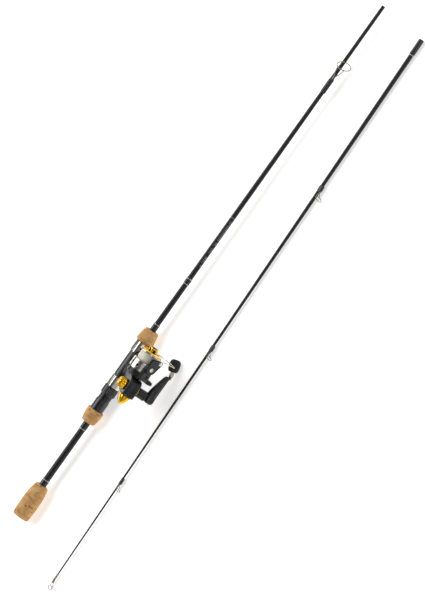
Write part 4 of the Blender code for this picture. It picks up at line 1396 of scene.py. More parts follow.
@dataclass(frozen=True)
class ReelSeat:
    """The seat's tube with its screw thread, two hoods and the lock nut."""

    start: float = 176.4
    end: float = 287.1
    bore: float = 7.6
    barrel_radius: float = 9.5
    thread_radius: float = 8.8
    tube_radius: float = 9.3
    thread_span: tuple[float, float] = (191.7, 232.5)
    pitch: float = 2.0
    nut: tuple[float, float] = (201.0, 214.3)
    ribs: int = 18

    def _tube(self) -> Grid:
        """Turn the tube. Along its thread the radius follows a rounded tooth in the
        length less the turn's share of the pitch, which dies away at both ends.

        Returns:
            The surface.
        """
        low, high = self.thread_span
        along = np.concatenate([[self.start, self.start + 0.2],
                                np.linspace(self.start + 0.6, low, 12),
                                np.arange(low + 0.15, high + 0.6, 0.2),
                                np.linspace(high + 1.0, self.end - 0.6, 20),
                                [self.end - 0.2, self.end]])
        around = 80
        angle = turns(around)[None, :]
        threaded = (smoothstep(low, low + 0.5, along) * (1.0 - smoothstep(high, high + 0.5, along)))
        rest = np.where(along < low + 1.0, self.barrel_radius, self.tube_radius)
        phase = (along[:, None] / self.pitch - angle / TAU) % 1.0
        tooth = smoothstep(0.12, 0.38, phase) * (1.0 - smoothstep(0.62, 0.88, phase))
        inside = smoothstep(low + 0.6, low + 2.6, along) * (
            1.0 - smoothstep(high - 2.6, high, along))
        cut = self.thread_radius - 0.42 + 0.75 * tooth
        level = cut * inside[:, None] + self.thread_radius * (1.0 - inside[:, None])
        radius = rest[:, None] * (1.0 - threaded[:, None]) + level * threaded[:, None]
        radius[[0, -1]] -= 0.3
        full = np.concatenate([along, [self.end, self.start]])
        inner = np.full((2, around), self.bore)
        return revolved(full, np.concatenate([radius, inner]), WORLD, True)

    def hood(self, start: float, end: float, inner: float, outer: float, flare: float) -> Grid:
        """Work out a hood: a sleeve that rises over the reel's foot by a smooth step in
        the angle, with rolled edges and a mouth that flares.

        Args:
            start: The closed end's station.
            end: The other end's station.
            inner: The bore's radius.
            outer: The outside's radius.
            flare: Which end the mouth is at, by its sign: the end where positive, the start where
                not.

        Returns:
            The surface.
        """
        angle = turns(112)[None, :]
        share = np.concatenate([[0.0, 0.02, 0.06, 0.12], np.linspace(0.2, 0.8, 14),
                                [0.88, 0.94, 0.98, 1.0]])
        along = start + (end - start) * share
        edge = np.minimum(share, 1.0 - share) * (end - start)
        roll = 0.75 * (1.0 - np.sqrt(np.clip(1.0 - (1.0 - np.clip(edge / 1.1, 0.0, 1.0))**2, 0, 1)))
        mouth = smoothstep(0.0, 1.0, share) if flare > 0.0 else smoothstep(0.0, 1.0, 1.0 - share)
        over = 1.0 - smoothstep(34.0, 66.0, away_from(angle))
        pocket = 1.0 - smoothstep(37.0, 54.0, away_from(angle))
        rise = 2.2 + 0.3 * mouth[:, None]
        outside = outer - roll[:, None] + rise * over
        groove = 0.16 * (1.0 - smoothstep(0.25, 0.7, np.abs(edge - 2.4)))
        outside = outside - groove[:, None]
        inside = inner + 2.5 * pocket + 0.0 * along[:, None]
        rows = np.concatenate([along, along[::-1]])
        return revolved(rows, np.concatenate([outside, inside[::-1]]), WORLD, True)

    def _nut(self) -> Grid:
        """Work out the ribbed nut: rounded ribs between grooves, which fade into a
        plain collar at each end.

        Returns:
            The surface.
        """
        start, end = self.nut
        angle = turns(self.ribs * 8)[None, :]
        along = np.concatenate([[start, start + 0.15, start + 0.5],
                                np.linspace(start + 1.2, end - 1.2, 22),
                                [end - 0.5, end - 0.15, end]])
        edge = np.minimum(along - start, end - along)[:, None]
        wave = 0.5 - 0.5 * np.cos(self.ribs * angle)
        depth = 0.55 * smoothstep(1.4, 2.6, edge)
        radius = 10.5 - 0.6 * (1.0 - smoothstep(0.0, 0.8, edge))
        radius = radius - depth * smoothstep(0.45, 1.0, wave)
        rows = np.concatenate([along, [end, start]])
        return revolved(rows, np.concatenate([radius, np.full((2, radius.shape[1]), 9.65)]),
                        WORLD, True)

    def build(self, shop: Workshop) -> None:
        """Make the seat.

        Args:
            shop: What makes the pieces.
        """
        shop.piece("seat_tube", Body.BUTT, [self._tube()], GLOSSY_GRAPHITE, ["reel_seat"])
        shop.piece("fixed_hood_shell", Body.BUTT, [self.hood(270.0, 286.8, 9.6, 11.0, -1.0)],
                   CHROME, ["fixed_hood"])
        shop.piece("sliding_hood_shell", Body.HOOD, [self.hood(214.6, 230.4, 9.5, 10.3, 1.0)],
                   CHROME, ["sliding_hood"])
        shop.piece("lock_nut_ring", Body.NUT, [self._nut()], GLOSSY_GRAPHITE, ["lock_nut"])
        shop.dress(["seat_arbor"], RUBBER)


# -------------------------------------------------------------------- reel

SPOOL_AXIS = 56.5
CRANK_POINT = np.array([236.2, 61.5, 0.0])
CRANK_TURN = math.radians(15.0)
PIVOT_X = 273.0
NEAR_ARM = 17.0
FAR_ARM = NEAR_ARM + 180.0
SPOOL_FRAME = Frame(np.array([0.0, SPOOL_AXIS, 0.0]), np.eye(3))
CRANK_FRAME = Frame.along(CRANK_POINT, (0.0, 0.0, 1.0), (1.0, 0.0, 0.0))
REACH_FRAME = Frame.along(CRANK_POINT, (math.cos(CRANK_TURN), -math.sin(CRANK_TURN), 0.0),
                          (math.sin(CRANK_TURN), math.cos(CRANK_TURN), 0.0))
KNOB_POINT = (42.2, 0.0, 42.0)
KNOB_FOLD = math.radians(12.0)
PIN_FRAME = REACH_FRAME.within(KNOB_POINT, (0.0, 1.0, 0.0), (1.0, 0.0, 0.0))
KNOB_FRAME = REACH_FRAME.within(KNOB_POINT, (math.cos(KNOB_FOLD), 0.0, -math.sin(KNOB_FOLD)),
                                (0.0, 1.0, 0.0))


def arm_frame(turn_deg: float) -> Frame:
    """The spool's frame, turned about x so that y points out along a rotor arm."""
    turn = math.radians(turn_deg)
    return Frame.along(SPOOL_FRAME.origin, (1.0, 0.0, 0.0), (0.0, math.cos(turn), math.sin(turn)))


def pivot_frame(turn_deg: float) -> Frame:
    """A bail pivot's frame: x forwards, y out along the pivot, z round the spool."""
    return arm_frame(turn_deg).within((PIVOT_X, 0.0, 0.0), (1.0, 0.0, 0.0), (0.0, 1.0, 0.0))


def radial_frame(turn_deg: float, forwards: float, round_spool: float) -> Frame:
    """A frame whose x runs out from the spool's axis, through a bail plate's point."""
    return pivot_frame(turn_deg).within((forwards, 0.0, round_spool), (0.0, 1.0, 0.0),
                                        (1.0, 0.0, 0.0))


def lobed(rows: Sequence[Point], number: int, frame_of: Frame, cut: float = 0.5,
          bore: float = 0.0, sharp: float = 1.0) -> Grid:
    """Turn a profile whose radius dips between round lobes: the radius less a depth
    times half of one minus the cosine of the lobes' angle, raised to a power.

    Args:
        rows: Along, radius and depth for each corner of the profile.
        number: How many lobes.
        frame_of: The frame whose x is the axis.
        cut: How far the rounding of the profile's corners reaches.
        bore: The radius of a hole through it, or nought for closed ends.
        sharp: The power, above one for narrower grooves.

    Returns:
        The surface.
    """
    table = softened(rows, cut)
    table = respaced(table, 0.5)
    angle = turns(number * 14)[None, :]
    wave = (0.5 - 0.5 * np.cos(number * angle))**sharp
    radius = table[:, 1:2] - table[:, 2:3] * wave
    if bore > 0.0:
        along = np.concatenate([table[:, 0], table[[-1, 0], 0]])
        inner = np.full((2, radius.shape[1]), bore)
        return revolved(along, np.concatenate([radius, inner]), frame_of, True)
    return poles(revolved(table[:, 0], radius, frame_of, False))


def plate(circles: Sequence[Point], bottom: float, top: float, frame_of: Frame,
          edge: float = 0.7, dome: float = 0.0) -> Grid:
    """Work out a plate whose outline is a band drawn tight round some circles: at each
    angle, the circle that reaches furthest that way gives the outline's point. Each row
    draws the circles in by its inset, then scales the outline towards its middle. The
    lower edge is rounded. The upper one is a groove, which slants down and inwards from
    the wall's top and then steps up to the face.

    Args:
        circles: Each circle's x, z and radius.
        bottom: The lower face's y.
        top: The upper face's y.
        frame_of: The frame.
        edge: The lower edge's radius, and the groove's width and depth.
        dome: How far the upper face rises to its middle.

    Returns:
        The surface.
    """
    table = np.asarray(circles, float)
    angle = turns(96)
    way = np.stack([np.cos(angle), np.sin(angle)], axis=1)
    chosen = table[np.argmax(way @ table[:, :2].T + table[:, 2], axis=1)]
    middle = table[:, :2].mean(axis=0)
    quarter = np.linspace(0.0, math.pi / 2.0, 7)
    inner = np.array([0.0, 0.25, 0.5, 0.75, 0.92])
    fall = edge * (1.0 - np.cos(quarter))
    height = np.concatenate([np.full(5, bottom), bottom + fall, top - fall,
                             top + dome * (1.0 - inner[::-1]**2)])
    inset = np.concatenate([np.full(5, edge), edge * (1.0 - np.sin(quarter)), fall,
                            np.full(5, edge)])
    scale = np.concatenate([inner, np.ones(14), inner[::-1]])
    reach = (chosen[:, 2] - inset[:, None])[..., None] * way + chosen[:, :2]
    flat = middle + scale[:, None, None] * (reach - middle)
    points = np.stack([flat[..., 0], np.broadcast_to(height[:, None], flat.shape[:2]),
                       flat[..., 1]], axis=-1)
    return Grid(frame_of.place(points))


def dented(points: Array, centre: Point, halves: Point, push: Point) -> Array:
    """Push points along a direction where they lie in an ellipsoid: fully in its inner
    half, and falling to nothing at its surface by a smooth step.

    Args:
        points: The points.
        centre: The ellipsoid's middle.
        halves: Its half sizes.
        push: The push at its middle.

    Returns:
        The moved points.
    """
    reach = np.linalg.norm((points - np.asarray(centre)) / np.asarray(halves), axis=-1)
    return points + (1.0 - smoothstep(0.72, 1.0, reach))[..., None] * np.asarray(push)


@dataclass(frozen=True)
class GearCase:
    """The reel's body: its foot and stem, gear case, covers and screws."""

    case_span: tuple[float, float] = (-6.3, 5.5)
    cover_span: tuple[float, float] = (5.8, 11.0)
    wall: float = 1.8
    edge: float = 1.5
    middle: tuple[float, float] = (235.5, 60.0)
    halves: tuple[float, float] = (15.0, 15.5)
    back: float = 224.0

    def _outline(self, inset: Array, around: int = 120) -> Array:
        """Work out the case's side outline: a superellipse whose back is cut flat by a
        smooth maximum.

        Args:
            inset: How far each row is drawn in.
            around: Columns.

        Returns:
            The x and y of each row's points.
        """
        ring = superellipse(around, 3.0)
        flat = (np.array(self.halves) - inset[:, None])[:, None, :] * ring[None] + self.middle
        limit = self.back + inset[:, None]
        past = flat[..., 0] - limit
        x = limit + 0.5 * (past + np.sqrt(past**2 + 0.6))
        return np.stack([x, flat[..., 1]], axis=-1)

    def _shell(self, floor: float, rim: float, hole: float, grooves: Sequence[float]) -> Grid:
        """Work out half of the case: from the hole in its floor out to a rounded edge,
        down its wall to the rim, and back inside. Each row lies between a circle and
        the case's outline.

        Args:
            floor: The closed side's z.
            rim: The open side's z.
            hole: The hole's radius.
            grooves: Where shallow grooves run round the wall, as z.

        Returns:
            The surface.
        """
        way = math.copysign(1.0, rim - floor)
        depth = abs(rim - floor)
        quarter = np.linspace(0.0, math.pi / 2.0, 8)
        out = np.array([1.0, 0.97, 0.7, 0.35, 0.08])
        down = np.linspace(self.edge, depth - 0.25, 40)[1:]
        level = np.concatenate([0.12 * (out > 0.98), self.edge * (1 - np.cos(quarter)), down,
                                [depth, depth], [self.wall + 1.0, self.wall],
                                self.wall + 0.0 * out])
        inset = np.concatenate([self.edge + 0.0 * out, self.edge * (1 - np.sin(quarter)),
                                0.0 * down, [0.25, self.wall],
                                [self.wall, self.wall + 0.5], self.wall + 0.5 + 0.0 * out])
        round_share = np.concatenate([out, np.zeros(8 + len(down) + 4), out[::-1]])
        z = floor + way * level
        wall_row = np.abs(inset) < 1e-9
        for groove in grooves:
            inset = inset + 0.32 * wall_row * (1.0 - smoothstep(0.12, 0.42, np.abs(z - groove)))
        outline = self._outline(inset)
        circle = hole * superellipse(outline.shape[1], 2.0)[None] + CRANK_POINT[:2]
        share = round_share[:, None, None]
        flat = circle * share + outline * (1.0 - share)
        points = np.concatenate([flat, np.broadcast_to(z[:, None, None], (*flat.shape[:2], 1))],
                                axis=-1)
        return Grid(points, True, along=z)

    @staticmethod
    def _foot() -> Grid:
        """Work out the saddle that the hoods clamp: a superellipse in the angle and the
        radius round the seat, whose half angle and thickness change along it.

        Returns:
            The surface.
        """
        table = spline(((219.5, 18.0, 1.0), (221.0, 23.5, 1.3), (225.0, 29.0, 1.6),
                        (234.0, 34.0, 2.2), (242.0, 34.0, 3.0), (262.0, 34.0, 3.0),
                        (269.0, 34.0, 2.1), (278.0, 29.0, 1.6), (282.0, 23.5, 1.3),
                        (283.5, 18.0, 1.0)), 8)
        ring = superellipse(72, 5.0)
        angle = np.radians(table[:, 1:2]) * ring[None, :, 0]
        radius = 9.65 + table[:, 2:3] * (0.5 + 0.5 * ring[None, :, 1])
        along = np.broadcast_to(table[:, :1], angle.shape)
        return poles(Grid(np.stack([along, radius * np.cos(angle), radius * np.sin(angle)], -1)))

    @staticmethod
    def _stem() -> Grid:
        """Work out the stem: superellipses that flare into the foot and the case.

        Returns:
            The surface.
        """
        table = spline(((11.0, 233.5, 269.5, 5.6), (12.2, 236.2, 266.0, 4.7),
                        (14.5, 238.0, 262.0, 3.7), (22.0, 237.0, 257.0, 3.2),
                        (32.0, 234.0, 248.8, 3.4), (40.0, 230.0, 248.8, 4.4),
                        (44.5, 228.0, 249.2, 5.2), (47.5, 226.5, 249.6, 6.0)), 8)
        height, back, front, half = table.T
        centres = np.stack([(back + front) / 2.0, height, 0.0 * height], axis=1)
        halves = np.stack([(front - back) / 2.0, half], axis=1)
        return lofted(centres, halves, ((1, 0, 0), (0, 0, 1)), WORLD, 2.6, 64)

    @staticmethod
    def _rear_cover() -> Grid:
        """Work out the tapering gold cover on the case's flat back.

        Returns:
            The surface.
        """
        table = spline(((223.75, 12.2, 7.8), (223.0, 12.5, 8.0), (219.0, 11.5, 6.9),
                        (215.0, 9.3, 5.2), (212.0, 6.7, 3.4), (210.4, 4.3, 2.0),
                        (209.8, 2.4, 1.1)), 8)
        centres = np.stack([table[:, 0], 60.0 + 0.0 * table[:, 0], 2.4 + 0.0 * table[:, 0]], 1)
        return lofted(centres, table[:, 1:], ((0, 1, 0), (0, 0, 1)), WORLD, 2.8, 72)

    @staticmethod
    def screw(frame_of: Frame, top: float, radius: float) -> Grid:
        """Turn a small screw head with a dished drive."""
        return turned(((top - 1.4, 0.0), (top - 1.4, radius * 0.6), (top - 0.7, radius * 0.6),
                       (top - 0.7, radius), (top - 0.2, radius), (top, radius * 0.72),
                       (top - 0.05, radius * 0.5), (top - 0.6, radius * 0.32),
                       (top - 0.6, 0.0)), frame_of, 28, 0.1, hollow=False)

    def build(self, shop: Workshop) -> None:
        """Make the gear case.

        Args:
            shop: What makes the pieces.
        """
        collar = turned(((248.0, 0.0), (248.0, 5.4), (250.6, 5.4), (250.6, 7.4), (252.3, 7.4),
                         (252.3, 0.0)), SPOOL_FRAME, 64, 0.3, hollow=False)
        case = self._shell(*self.case_span, 4.1, (-3.6, 3.9))
        shop.piece("gear_case_shell", Body.BUTT, [case, collar, self._stem()], GRAPHITE,
                   ["reel_body"])
        shop.piece("reel_foot", Body.BUTT, [self._foot()], GRAPHITE)
        low, high = self.cover_span
        boss = turned(((high - 0.5, 5.1), (high - 0.5, 7.9), (high + 0.8, 7.4), (high + 0.8, 5.1)),
                      CRANK_FRAME, 64, 0.3)
        shop.piece("side_cover_shell", Body.BUTT, [self._shell(high, low, 5.1, (8.2,)), boss],
                   GRAPHITE, ["side_cover"])
        shop.piece("rear_cover_shell", Body.BUTT, [self._rear_cover()], GOLD, ["rear_cover"])
        places = ((226.8, 48.5), (245.2, 48.2), (245.2, 71.8), (226.8, 71.5))
        screws = [self.screw(Frame.along((x, y, 0.0), (0, 0, 1), (1, 0, 0)), high + 0.25, 1.5)
                  for x, y in places]
        shop.piece("case_screws", Body.BUTT, screws, STEEL)
        shop.dress(["shaft_bearing_left", "shaft_bearing_right", "pinion_bearing"], STEEL)


@dataclass(frozen=True)
class Crank:
    """The crank: its gold screw cap, shaft, gear, collar, sleeve, arm and knob pin."""

    lobes: int = 9

    @staticmethod
    def _arm() -> list[Grid]:
        """Work out the arm: superellipses in the reach frame, with an oval dish pressed
        in its root and a flute along its side, and a tongue with a round boss, the eye, at its end.

        Returns:
            The arm, the tongue and the eye.
        """
        table = spline(((-6.6, 2.6, 30.0, 36.6), (-5.4, 4.8, 28.0, 38.8), (-2.0, 6.2, 26.8, 39.8),
                        (3.5, 6.2, 26.7, 40.0), (8.0, 5.6, 26.8, 40.2), (13.0, 5.1, 27.8, 40.6),
                        (20.0, 4.6, 29.8, 41.2), (33.0, 3.9, 33.8, 42.4), (37.4, 3.3, 35.8, 43.0),
                        (38.6, 2.2, 37.2, 42.6)), 14)
        along, half, low, high = table.T
        centres = np.stack([along, 0.0 * along, (low + high) / 2.0], axis=1)
        halves = np.stack([half, (high - low) / 2.0], axis=1)
        arm = lofted(centres, halves, ((0, 1, 0), (0, 0, 1)), WORLD, 3.0, 96)
        points = dented(arm.points, (-0.2, -6.2, 33.6), (4.4, 2.6, 4.4), (0.0, 1.2, 0.0))
        points = dented(points, (-0.2, 6.2, 33.6), (4.4, 2.6, 4.4), (0.0, -1.2, 0.0))
        flute = dented(points, (20.5, -4.7, 36.0), (13.5, 1.9, 2.6), (0.0, 0.5, 0.0))
        tongue = lofted(np.array([(x, 0.0, 42.0) for x in (36.0, 37.0, 42.2)]),
                        np.array([(1.5, 2.2)] * 3), ((0, 1, 0), (0, 0, 1)), REACH_FRAME, 6.0, 32)
        eye = turned(((-1.5, 0.0), (-1.5, 2.4), (1.5, 2.4), (1.5, 0.0)), PIN_FRAME, 40, 0.3,
                     hollow=False)
        return [Grid(REACH_FRAME.place(flute)), tongue, eye]

    def build(self, shop: Workshop) -> None:
        """Make the crank.

        Args:
            shop: What makes the pieces.
        """
        cap = lobed(((-16.5, 0.4, 0.0), (-16.5, 2.6, 0.0), (-17.0, 3.1, 0.0), (-16.9, 4.2, 0.3),
                     (-16.0, 5.9, 1.2), (-14.2, 7.2, 1.8), (-11.6, 7.8, 1.9), (-9.2, 7.9, 1.5),
                     (-8.8, 7.9, 0.2), (-8.6, 8.0, 0.0), (-7.0, 8.0, 0.0), (-6.6, 7.4, 0.0)),
                    self.lobes, CRANK_FRAME, 0.6, sharp=1.5)
        shop.piece("crank_cap_knob", Body.CRANK, [cap], GOLD, ["crank_cap"])
        ring = turned(((12.1, 2.6), (12.1, 6.7), (13.4, 6.7), (13.4, 2.6)), CRANK_FRAME, 64, 0.3)
        shop.piece("crank_collar_ring", Body.CRANK, [ring], GOLD, ["crank_collar"])
        profile = respaced(softened(((13.7, 6.2), (14.6, 6.8), (20.0, 6.9), (25.6, 7.1),
                                     (26.4, 6.6)), 0.6), 0.2)
        along, radius = profile.T
        groove = 1.0 - smoothstep(0.05, 0.25, np.abs((along - 15.4) % 2.2 - 1.1))
        radius = radius - 0.12 * groove * (along < 24.8) * (along > 15.4)
        outer = np.repeat(radius[:, None], 72, axis=1)
        rows = np.concatenate([along, [26.4, 13.7]])
        sleeve = revolved(rows, np.concatenate([outer, np.full((2, 72), 2.6)]), CRANK_FRAME, True)
        shop.piece("crank_sleeve_tube", Body.CRANK, [sleeve], GRAPHITE, ["crank_sleeve"])
        shop.piece("crank_arm_lever", Body.CRANK, self._arm(), GLOSSY_GRAPHITE, ["crank_arm"])
        pin = turned(((-4.5, 0.0), (-4.5, 1.0), (-4.1, 1.75), (-3.65, 1.75), (-3.65, 1.15),
                      (3.65, 1.15), (3.65, 1.75), (4.1, 1.75), (4.5, 1.0), (4.5, 0.0)),
                     PIN_FRAME, 36, 0.25, hollow=False)
        shop.piece("knob_pin_rivet", Body.CRANK, [pin], STEEL, ["knob_pin"])
        shop.dress(["drive_shaft"], STEEL)
        shop.dress(["drive_gear"], BRASS)


@dataclass(frozen=True)
class CrankKnob:
    """The yoke that folds on the pin, and the soft knob that spins on its spindle."""

    def _grip(self) -> Grid:
        """Work out the knob: superellipses along the spindle, drawn in by a few shallow
        grooves across its broad faces.

        Returns:
            The surface.
        """
        table = spline(((5.0, 3.2, 4.2), (5.4, 4.1, 5.4), (6.6, 4.8, 6.4), (9.5, 5.4, 7.5),
                        (14.0, 5.6, 7.8), (18.0, 5.4, 7.5), (21.0, 4.4, 6.2), (22.1, 3.2, 4.5),
                        (22.4, 2.2, 3.2)), 12)
        along = table[:, 0]
        groove = 1.0 - smoothstep(0.12, 0.5, np.abs((along - 9.5 + 1.0) % 2.0 - 1.0))
        shrink = 1.0 - 0.05 * groove * (along > 8.6) * (along < 18.4)
        centres = np.stack([along, 0.0 * along, 0.0 * along], axis=1)
        return lofted(centres, table[:, 1:] * shrink[:, None], ((0, 1, 0), (0, 0, 1)), KNOB_FRAME,
                      2.4, 80)

    def build(self, shop: Workshop) -> None:
        """Make the knob and its yoke.

        Args:
            shop: What makes the pieces.
        """
        cheek_frame = Frame.along(KNOB_FRAME.origin, KNOB_FRAME.axes[0], KNOB_FRAME.axes[1])
        cheeks = [plate(((0.0, 0.0, 2.3), (3.4, 0.0, 2.1)), low, high, cheek_frame, 0.4)
                  for low, high in ((-3.5, -1.8), (1.8, 3.5))]
        bridge = lofted(np.array([(x, 0.0, 0.0) for x in (3.0, 3.2, 4.4, 4.6)]),
                        np.array([(3.2, 2.0), (3.4, 2.2), (3.4, 2.2), (3.2, 2.0)]),
                        ((0, 1, 0), (0, 0, 1)), KNOB_FRAME, 5.0, 48)
        spindle = turned(((4.0, 0.0), (4.0, 1.6), (19.0, 1.6), (19.0, 0.0)), KNOB_FRAME, 32, 0.3,
                         hollow=False)
        shop.piece("knob_yoke_fork", Body.YOKE, [*cheeks, bridge, spindle], STEEL, ["knob_yoke"])
        shop.piece("knob_grip_paddle", Body.KNOB, [self._grip()], RUBBER, ["knob_grip"])


@dataclass(frozen=True)
class Rotor:
    """The rotor: a cup with a sloping back, two arms, and a balancing fin."""

    @staticmethod
    def _arm(turn_deg: float) -> list[Grid]:
        """Work out an arm: superellipses in the angle and the radius round the spool,
        whose half angle changes along it, with a pocket near its root.

        Args:
            turn_deg: The arm's angle.

        Returns:
            The arm and its root.
        """
        own = arm_frame(turn_deg)
        ring = superellipse(88, 6.0)

        def band(table: Array) -> Array:
            """Work out the points of an arm's rows.

            Args:
                table: Each row's place along, half angle in degrees, and inner and outer
                    radius.

            Returns:
                The points.
            """
            angle = np.radians(table[:, 1:2]) * ring[None, :, 0]
            middle, half = (table[:, 2:3] + table[:, 3:4]) / 2, (table[:, 3:4] - table[:, 2:3]) / 2
            radius = middle + half * ring[None, :, 1]
            along = np.broadcast_to(table[:, :1], angle.shape)
            return np.stack([along, radius * np.cos(angle), radius * np.sin(angle)], axis=-1)

        arm = band(spline(((254.2, 24.0, 17.9, 20.2), (254.8, 25.2, 17.6, 20.5),
                           (258.0, 26.0, 17.6, 20.5), (265.0, 23.4, 17.6, 20.5),
                           (273.0, 19.4, 17.6, 20.5), (276.5, 15.2, 17.6, 20.5),
                           (277.7, 11.0, 17.8, 20.3), (278.0, 8.0, 18.0, 20.0)), 10))
        arm = dented(arm, (260.6, 20.5, 0.6), (4.4, 2.1, 4.2), (0.0, -1.7, 0.0))
        root = band(spline(((253.4, 20.0, 13.6, 19.4), (253.9, 21.2, 13.3, 19.9),
                            (257.4, 23.0, 13.3, 19.9), (257.9, 22.4, 13.6, 19.6)), 6))
        return [poles(Grid(own.place(arm))), poles(Grid(own.place(root)))]

    @staticmethod
    def _fin() -> Grid:
        """Work out the fin: superellipses that narrow outwards from the rotor.

        Returns:
            The surface.
        """
        table = spline(((13.1, 6.0, 251.6, 257.9), (16.5, 5.3, 251.5, 257.9),
                        (20.0, 3.9, 251.4, 257.7), (23.6, 2.2, 252.1, 256.8),
                        (25.0, 1.0, 253.0, 255.6)), 8)
        out, half, start, end = table.T
        centres = np.stack([(start + end) / 2.0, out, 0.0 * out], axis=1)
        halves = np.stack([(end - start) / 2.0, half], axis=1)
        return lofted(centres, halves, ((1, 0, 0), (0, 0, 1)), arm_frame(NEAR_ARM + 50.0), 3.2,
                      48)

    def build(self, shop: Workshop) -> None:
        """Make the rotor.

        Args:
            shop: What makes the pieces.
        """
        cup = turned(((252.7, 3.2), (252.7, 9.0), (253.9, 14.6), (255.0, 15.4), (257.6, 15.4),
                      (258.0, 14.5), (266.0, 14.5), (266.0, 12.6), (257.5, 12.6), (257.5, 3.2)),
                     SPOOL_FRAME, 96, 0.6)
        shop.piece("rotor_cup", Body.ROTOR, [cup, *self._arm(NEAR_ARM), *self._arm(FAR_ARM),
                                             self._fin()], GRAPHITE, ["rotor"])
        for name, turn in (("bail_screw_near", NEAR_ARM), ("bail_screw_far", FAR_ARM)):
            own = radial_frame(turn, 0.0, 0.0)
            head = turned(((18.0, 0.0), (18.0, 1.45), (23.3, 1.45), (23.3, 2.75), (24.2, 2.75),
                           (24.6, 2.2), (24.6, 1.5), (23.9, 1.1), (23.8, 0.0)), own, 40, 0.2,
                          hollow=False)
            shop.piece(f"{name}_head", Body.ROTOR, [head], STEEL, [name])
        shop.dress(["pinion_gear"], BRASS)
        shop.dress(["rotor_nut"], STEEL)


@dataclass(frozen=True)
class Bail:
    """The bail: near arm, far holder, wire, and the line roller with its screw."""

    arm_tip: tuple[float, float] = (13.0, 7.0)
    arm_corner: tuple[float, float, float] = (11.6, -4.6, 3.0)
    holder_tip: tuple[float, float] = (9.0, 5.0)
    knots: tuple[Point, ...] = ((24.2, 24.1, 16.9), (34.0, 26.8, 17.6), (48.0, 32.0, 17.4),
                                (62.0, 36.4, 17.0), (73.0, 35.4, 17.0), (81.0, 32.2, 17.0),
                                (90.0, 29.0, 17.0), (108.0, 26.8, 16.8), (130.0, 25.0, 16.0),
                                (149.0, 24.0, 14.4), (161.0, 23.3, 12.0))

    def build(self, shop: Workshop) -> None:
        """Make the bail.

        Args:
            shop: What makes the pieces.
        """
        own = pivot_frame(NEAR_ARM)
        arm = plate(((0.0, 0.0, 7.6), (*self.arm_tip, 3.6), self.arm_corner), 20.8, 22.9, own, 0.8,
                    0.3)
        shop.piece("bail_arm_plate", Body.BAIL, [arm], GRAPHITE, ["bail_arm"])
        tip = (self.holder_tip[0], -self.holder_tip[1], 3.0)
        holder = plate(((0.0, 0.0, 7.4), tip), 20.8, 22.9, pivot_frame(FAR_ARM), 0.8, 0.3)
        shop.piece("bail_holder_plate", Body.BAIL, [holder], GRAPHITE, ["bail_holder"])
        angle, radius, forwards = np.asarray(self.knots, float).T
        turn = np.radians(angle)
        path = spline(np.stack([forwards, radius * np.cos(turn), radius * np.sin(turn)], 1), 12)
        bail = wire(own.place(path), 0.7, (1.0, 0.0, 0.0), 16)
        shop.piece("bail_wire_hoop", Body.BAIL, [bail], STEEL, ["bail_wire"])
        roller = radial_frame(NEAR_ARM, *self.arm_tip)
        screw = turned(((16.4, 0.0), (16.4, 0.95), (22.6, 0.95), (22.6, 2.9), (23.2, 2.9),
                        (23.9, 2.2), (24.2, 1.1), (24.25, 0.0)), roller, 40, 0.25, hollow=False)
        shop.piece("roller_screw_head", Body.BAIL, [screw], CHROME, ["roller_screw"])
        waist = turned(((16.9, 1.05), (16.9, 2.8), (17.6, 2.7), (18.3, 2.25), (19.1, 2.25),
                        (19.8, 2.7), (20.5, 2.8), (20.5, 1.05)), roller, 40, 0.4)
        shop.piece("line_roller_wheel", Body.ROLLER, [waist], CHROME, ["line_roller"])


